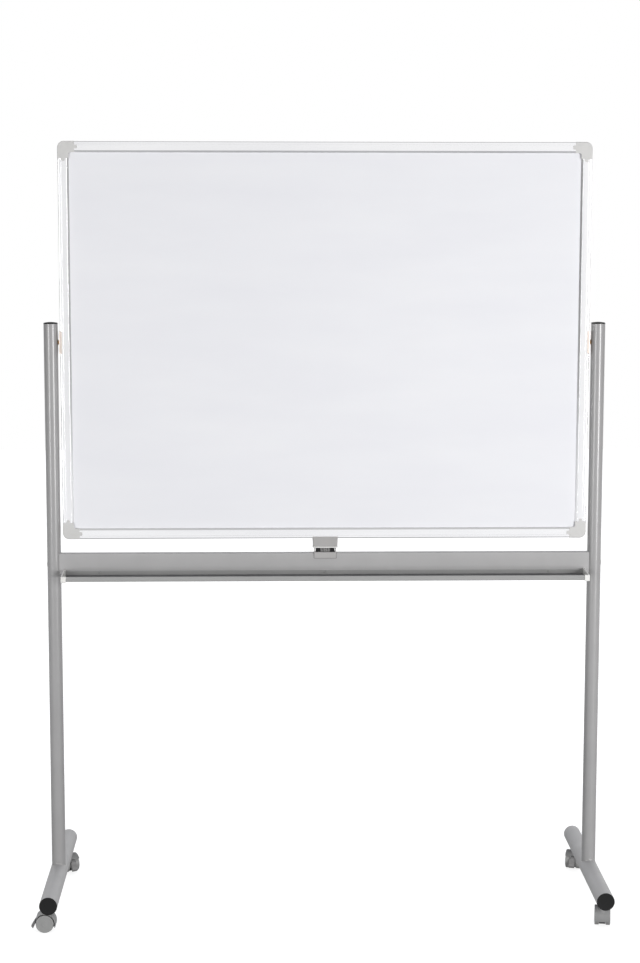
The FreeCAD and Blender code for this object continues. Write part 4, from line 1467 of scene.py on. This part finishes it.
@dataclass
class Caster:
    """Twin-wheel swivel caster, modelled with its stem on the origin and its wheels trailing to +X."""

    places: dict[str, tuple[float, float, float]] = field(
        default_factory=lambda: {
            "front_left": (-621.5, -215.0, 180.0),
            "front_right": (621.5, -215.0, 82.0),
            "back_left": (-621.5, 215.0, -59.0),
            "back_right": (621.5, 215.0, -108.0),
        }
    )
    trail: float = 11.0
    wheel_radius: float = 20.0
    wheel_inner: float = 7.5
    wheel_outer: float = 17.5
    inner_edge: tuple[tuple[float, float], ...] = ((0.0, 1.2), (0.15, 0.55), (0.5, 0.15), (1.0, 0.0))
    outer_edge: tuple[tuple[float, float], ...] = (
        (1.6, 0.0), (0.85, 0.2), (0.3, 0.65), (0.0, 1.5), (0.0, 2.6), (0.35, 3.1),
    )
    hub: tuple[tuple[float, float], ...] = ((0.35, 6.4), (0.0, 5.9), (0.0, 5.2), (0.2, 4.9), (0.2, 0.0))
    hood_bore: float = 22.2
    hood_radius: float = 24.5
    hood_arc: tuple[float, float] = (38.0, 200.0)
    web_half: float = 7.1
    web_foot: tuple[tuple[float, float], ...] = ((-8.0, -13.0), (8.0, -13.0), (17.8, 4.0))
    # Black block below the web, between the wheels: a painted shadow in the gap under the hood.
    keel: tuple[tuple[float, float], ...] = ((-5.0, -17.4), (5.0, -17.4), (9.0, -9.0), (-9.0, -9.0))
    web_shadow_inset: float = 0.1
    boss_radius: float = 7.0
    boss_top: float = 46.75
    boss_edge: float = 0.4
    boss_flare: tuple[tuple[float, float], ...] = ((0, 2.5), (22.5, 2.5), (24.2, 0.9), (25.4, 0.0))
    pedal_pin: tuple[float, float, float] = (14.0, 8.0, 1.5)
    pedal_arm_half: float = 4.0
    pedal_play: float = 0.3
    pedal_slot: float = 7.5
    pedal_pad_half: float = 6.8
    pedal_pad_start: float = 22.4
    pedal_shares: tuple[tuple[float, float], ...] = (
        (0.90, 0.34), (1.28, -0.30), (1.11, -0.53), (0.91, -0.12),
    )
    pedal_ribs: tuple[float, ...] = (5.2, 7.6, 10.0, 12.4)
    pedal_margin: float = 1.6
    pedal_groove: float = 0.55

    def spot(self, x: float, y: float, z: float) -> Point:
        """Point given from the middle of the axle."""
        return self.trail + x, y, self.wheel_radius + z

    def wheel(self) -> Workpiece:
        """Model the wheel on the -Y side: a rounded tread, a shallow dish and a hub.

        Returns:
            The wheel.
        """
        rim, width = self.wheel_radius, self.wheel_outer - self.wheel_inner
        profile = [(0.0, 0.0)] + [(along, rim - down) for along, down in self.inner_edge]
        profile += [(width - along, rim - down) for along, down in self.outer_edge]
        profile += [(width - along, radius) for along, radius in self.hub]
        start = self.spot(0, -self.wheel_inner, 0)
        return Workpiece.turned("wheel_pattern", start, -AXES["Y"], profile, 96).polish(35)

    def arc(self, radius: float, steps: int = 40) -> list[tuple[float, float]]:
        """Points of the hood's arc, from its back over the top to its front."""
        start, end = self.hood_arc
        turns = [math.radians(start + (end - start) * i / steps) for i in range(steps + 1)]
        return [(radius * math.cos(turn), radius * math.sin(turn)) for turn in turns]

    def across(self, name: str, corners: Sequence[tuple[float, float]], half: float) -> Workpiece:
        """Solid on an outline seen along the axle, as deep as half on each side of the middle."""
        flat = Workpiece.outline(name, [self.spot(u, -half, v) for u, v in corners])
        return flat.sweep((0, 2 * half, 0))

    def hood(self) -> Workpiece:
        """Model the hood: an arched cover, the web between the wheels and the stem's boss.

        Returns:
            The hood.
        """
        arch = self.arc(self.hood_radius) + self.arc(self.hood_bore)[::-1]
        hood = self.across("hood_pattern", arch, self.wheel_outer)
        hood.soften(0.9, 4)
        web = self.arc((self.hood_bore + self.hood_radius) / 2) + list(self.web_foot)
        hood.unite(self.across("web", web, self.web_half))
        rim, rise, edge = self.boss_radius, self.boss_top - self.wheel_radius, self.boss_edge
        boss = [(0, 0)] + [(along, rim + out) for along, out in self.boss_flare]
        boss += [(rise - edge, rim), (rise, rim - edge), (rise, 0)]
        hood.unite(Workpiece.turned("boss", (0, 0, self.wheel_radius), AXES["Z"], boss, 48))
        slot_top = self.arc(self.hood_radius)[0][1]
        half = self.pedal_arm_half + self.pedal_play
        reach = self.wheel_radius
        space = [self.spot(self.pedal_slot, -half, -reach), self.spot(2 * reach, half, slot_top)]
        hood.cut(Workpiece.box("pedal_slot", *space))
        return hood.polish(35)

    def pedal(self) -> Workpiece:
        """Model the brake pedal: an arm on its pin and a ribbed pad.

        Returns:
            The pedal.
        """
        x, z, r = self.pedal_pin
        arm = [(x - 2 * r, z - 2 * r), (x - 2 * r, z + 2 * r), (x + r, z + 3 * r)]
        arm += [(self.hood_radius * out, self.hood_radius * up) for out, up in self.pedal_shares]
        arm.append((x + 2 * r, z - 3 * r))
        pedal = self.across("pedal_pattern", arm, self.pedal_pad_half)
        reach = self.wheel_radius
        for way in (-1, 1):
            near, far = sorted((way * self.pedal_arm_half, way * reach))
            space = [self.spot(-reach, near, -reach), self.spot(self.pedal_pad_start, far, reach)]
            pedal.cut(Workpiece.box("beside", *space))
        pedal.soften(0.9, 4, 40)
        shoulder, tip = (self.hood_radius * Vector(share) for share in self.pedal_shares[:2])
        along = (tip - shoulder).normalized()
        half = self.pedal_pad_half - self.pedal_margin
        for rib in self.pedal_ribs:
            at = shoulder + along * rib
            ends = [self.spot(at.x, way * half, at.y) for way in (-1, 1)]
            pedal.cut(Workpiece.bar("groove", *ends, self.pedal_groove, 12))
        hinge = [self.spot(x, way * self.pedal_pad_half, z) for way in (-1, 1)]
        pedal.unite(Workpiece.bar("hinge", *hinge, r, 24))
        return pedal.polish()

    def build(self) -> None:
        """Make each piece once and copy it to the four casters at their headings."""
        wheel = self.wheel()
        across = half_turn("Z", Vector(self.spot(0, 0, 0)))
        patterns = {
            "wheel_a": (wheel, WHEEL_NYLON, "{}_caster_wheel_a"),
            "wheel_b": (wheel.copy("wheel_pattern_b", across), WHEEL_NYLON, "{}_caster_wheel_b"),
            "hood": (self.hood(), CASTER_NYLON, "{}_caster"),
            "brake_pedal": (self.pedal(), PEDAL_NYLON, "{}_caster_brake_pedal"),
        }
        # Painted shadow: a black block below the web, in the gap between the wheels.
        keel = self.across("web_shadow_pattern", self.keel, self.web_half - self.web_shadow_inset)
        keel.soften(0.8, 3, 40).polish()
        for name, (x, y, heading) in self.places.items():
            move = Matrix.Translation((x, y, 0)) @ Matrix.Rotation(math.radians(heading), 4, "Z")
            for kind, (pattern, finish, body) in patterns.items():
                copy = pattern.copy(f"{name}_{kind}_moulding", move)
                copy.dress(finish, body.format(name), f"{name}_caster_{kind}")
            keel.copy(f"{name}_keel_moulding", move).dress(BLACK_PLASTIC_AND_SHADOW, f"{name}_caster")
            dress_node(f"{name}_caster_axle", AXLE_STEEL)
        bpy.data.objects.remove(keel.obj)
        for pattern, _, _ in patterns.values():
            bpy.data.objects.remove(pattern.obj)
        dress_node("caster_stems", ZINC)


# Studio

@dataclass
class Studio:
    """White sweep, soft lamps and the camera.

    Each ramp of the world names an axis, where on it the ramp starts and ends, and its strength there. Sky
    and rear light the object, and the others shape what its gloss mirrors. The floor's two ramps are by
    distance from its middle, in metres, for the eye and for the gloss.
    """

    camera_place: Point = (-147.4, -4765.6, 1620.2)
    yaw: float = 1.63
    pitch: float = 7.58
    roll: float = 0.077
    focal_pixels: float = 2099.4
    image_height: float = 963.0
    sensor: float = 36.0
    sight: float = 50000.0
    floor_half: float = 9000.0
    floor_tone: str = "A0A0A0"
    floor_roughness: float = 0.9
    floor_specular: float = 0.1
    floor_near_far: tuple[float, float, float, float] = (0.75, 1.3, 0.82, 1.0)
    floor_in_gloss: tuple[float, float, float, float] = (1.0, 3.0, 0.3, 0.85)
    ambient_tint: str = "F4F6FA"
    ramps: dict[str, tuple[str, float, float, float, float]] = field(
        default_factory=lambda: {
            "sky": ("Z", 0.45, 0.85, 0.12, 0.75),
            "rear": ("Y", 0.55, 0.85, 0.0, 2.2),
            "front": ("Y", -1.0, -0.2, 1.15, 0.4),
            "back": ("Y", 0.6, 0.95, 0.0, 0.6),
            "side": ("X", -1.0, 1.0, 0.75, 1.2),
            "level": ("Z", -0.2, 0.6, 0.8, 1.4),
        }
    )
    lamps: dict[str, tuple[Point, Point, tuple[float, float], float]] = field(
        default_factory=lambda: {
            "key": ((2700, -3500, 1150), (0, 0, 1050), (800, 1700), 124.0),
            "fill": ((-2700, -3500, 1150), (0, 0, 1050), (800, 1700), 68.0),
        }
    )

    def camera(self) -> None:
        """Set the camera at the photograph's viewing angle."""
        data = bpy.data.cameras.new("camera")
        data.sensor_fit = "VERTICAL"
        data.sensor_height = self.sensor
        data.lens = self.sensor * self.focal_pixels / self.image_height
        data.clip_end = self.sight * MM
        yaw, pitch, roll = (math.radians(a) for a in (self.yaw, self.pitch, self.roll))
        forward = Vector((math.sin(yaw) * math.cos(pitch), math.cos(yaw) * math.cos(pitch), -math.sin(pitch)))
        right = Vector((math.cos(yaw), -math.sin(yaw), 0))
        up = right.cross(forward)
        cos, sin = math.cos(roll), math.sin(roll)
        right, up = right * cos + up * sin, up * cos - right * sin
        obj = bpy.data.objects.new("camera", data)
        bpy.context.scene.collection.objects.link(obj)
        turn = Matrix((right, up, -forward)).transposed().to_4x4()
        obj.matrix_world = Matrix.Translation(Vector(self.camera_place) * MM) @ turn
        bpy.context.scene.camera = obj

    def light(self) -> None:
        """Hang the soft lamps."""
        for name, (place, aim, size, power) in self.lamps.items():
            data = bpy.data.lights.new(name, "AREA")
            data.shape = "RECTANGLE"
            data.size, data.size_y = (s * MM for s in size)
            data.energy = power
            lamp = bpy.data.objects.new(name, data)
            bpy.context.scene.collection.objects.link(lamp)
            aimed = (Vector(aim) - Vector(place)).to_track_quat("-Z", "Y").to_matrix().to_4x4()
            lamp.matrix_world = Matrix.Translation(Vector(place) * MM) @ aimed

    def world(self) -> None:
        """Surround the object with white for the eye and for reflections, and soft ambient light."""
        world = bpy.data.worlds.new("studio")
        bpy.context.scene.world = world
        world.use_nodes = True
        tree = world.node_tree
        tree.nodes.clear()
        path = add_node(tree, "LightPath")
        place = add_node(tree, "TexCoord")
        split = add_node(tree, "SeparateXYZ", {0: place.outputs["Generated"]})
        ramp = {}
        for name, (axis, start, end, low, high) in self.ramps.items():
            inputs = {0: split.outputs[axis], 1: start, 2: end, 3: low, 4: high}
            ramp[name] = add_node(tree, "MapRange", inputs).outputs[0]
        soft = add_node(tree, "Math", {0: ramp["sky"], 1: ramp["rear"]}, operation="ADD")
        inputs = {"Color": linear(self.ambient_tint), "Strength": soft.outputs[0]}
        ambient = add_node(tree, "Background", inputs)
        depth = add_node(tree, "Math", {0: ramp["front"], 1: ramp["back"]}, operation="ADD")
        wall = add_node(tree, "Math", {0: depth.outputs[0], 1: ramp["side"]}, operation="MULTIPLY")
        room = add_node(tree, "Math", {0: wall.outputs[0], 1: ramp["level"]}, operation="MULTIPLY")
        pure = (1, 1, 1, 1)
        sweep = add_node(tree, "Background", {"Color": pure, "Strength": room.outputs[0]})
        white = add_node(tree, "Background", {"Color": pure, "Strength": 1.0})
        rays = {0: path.outputs["Is Glossy Ray"], 1: path.outputs["Is Transmission Ray"]}
        seen = add_node(tree, "Math", rays, operation="MAXIMUM")
        mirror = add_node(tree, "MixShader", {0: seen.outputs[0], 1: ambient.outputs[0], 2: sweep.outputs[0]})
        inputs = {0: path.outputs["Is Camera Ray"], 1: mirror.outputs[0], 2: white.outputs[0]}
        view = add_node(tree, "MixShader", inputs)
        add_node(tree, "OutputWorld", {"Surface": view.outputs[0]})

    def floor(self) -> None:
        """Lay a pale floor that keeps the shadow near the object and fades to white."""
        Workpiece.clear()
        bpy.ops.mesh.primitive_plane_add(size=2 * self.floor_half * MM)
        floor = bpy.context.object
        floor.name = "floor"
        made = bpy.data.materials.new("white_paper_sweep")
        made.use_nodes = True
        tree = made.node_tree
        shader = tree.nodes["Principled BSDF"]
        shader.inputs["Base Color"].default_value = linear(self.floor_tone)
        shader.inputs["Roughness"].default_value = self.floor_roughness
        shader.inputs["Specular IOR Level"].default_value = self.floor_specular
        path = add_node(tree, "LightPath")
        place = add_node(tree, "TexCoord")
        far = add_node(tree, "VectorMath", {0: place.outputs["Object"]}, operation="LENGTH")
        fade, sheen = (
            add_node(tree, "MapRange", {0: far.outputs["Value"]} | dict(enumerate(values, 1)))
            for values in (self.floor_near_far, self.floor_in_gloss)
        )
        inputs = {0: fade.outputs[0], 1: path.outputs["Is Camera Ray"]}
        seen = add_node(tree, "Math", inputs, operation="MULTIPLY")
        inputs = {0: path.outputs["Is Glossy Ray"], 1: sheen.outputs[0], 2: seen.outputs[0]}
        strength = add_node(tree, "Math", inputs, operation="MULTIPLY_ADD")
        glow = add_node(tree, "Emission", {"Color": (1, 1, 1, 1), "Strength": strength.outputs[0]})
        paper = add_node(tree, "AddShader", {0: shader.outputs[0], 1: glow.outputs[0]})
        tree.links.new(paper.outputs[0], tree.nodes["Material Output"].inputs["Surface"])
        floor.data.materials.append(made)

    def build(self) -> None:
        """Set up the whole studio."""
        self.camera()
        self.light()
        self.world()
        self.floor()
        bpy.context.scene.view_settings.view_transform = "Standard"


def main() -> None:
    """Build and dress every sub-assembly."""
    logging.basicConfig(level=logging.INFO, format="%(name)s %(message)s")
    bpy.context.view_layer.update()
    Studio().build()
    Panel().dress()
    for assembly in (FrameRails(), CornerCaps(), PivotSet(), Posts(), Feet()):
        assembly.build()
    Crossbar().dress()
    for assembly in (PenTray(), Latch(), Caster()):
        assembly.build()
    Workpiece.clear()


if __name__ == "__main__":
    main()
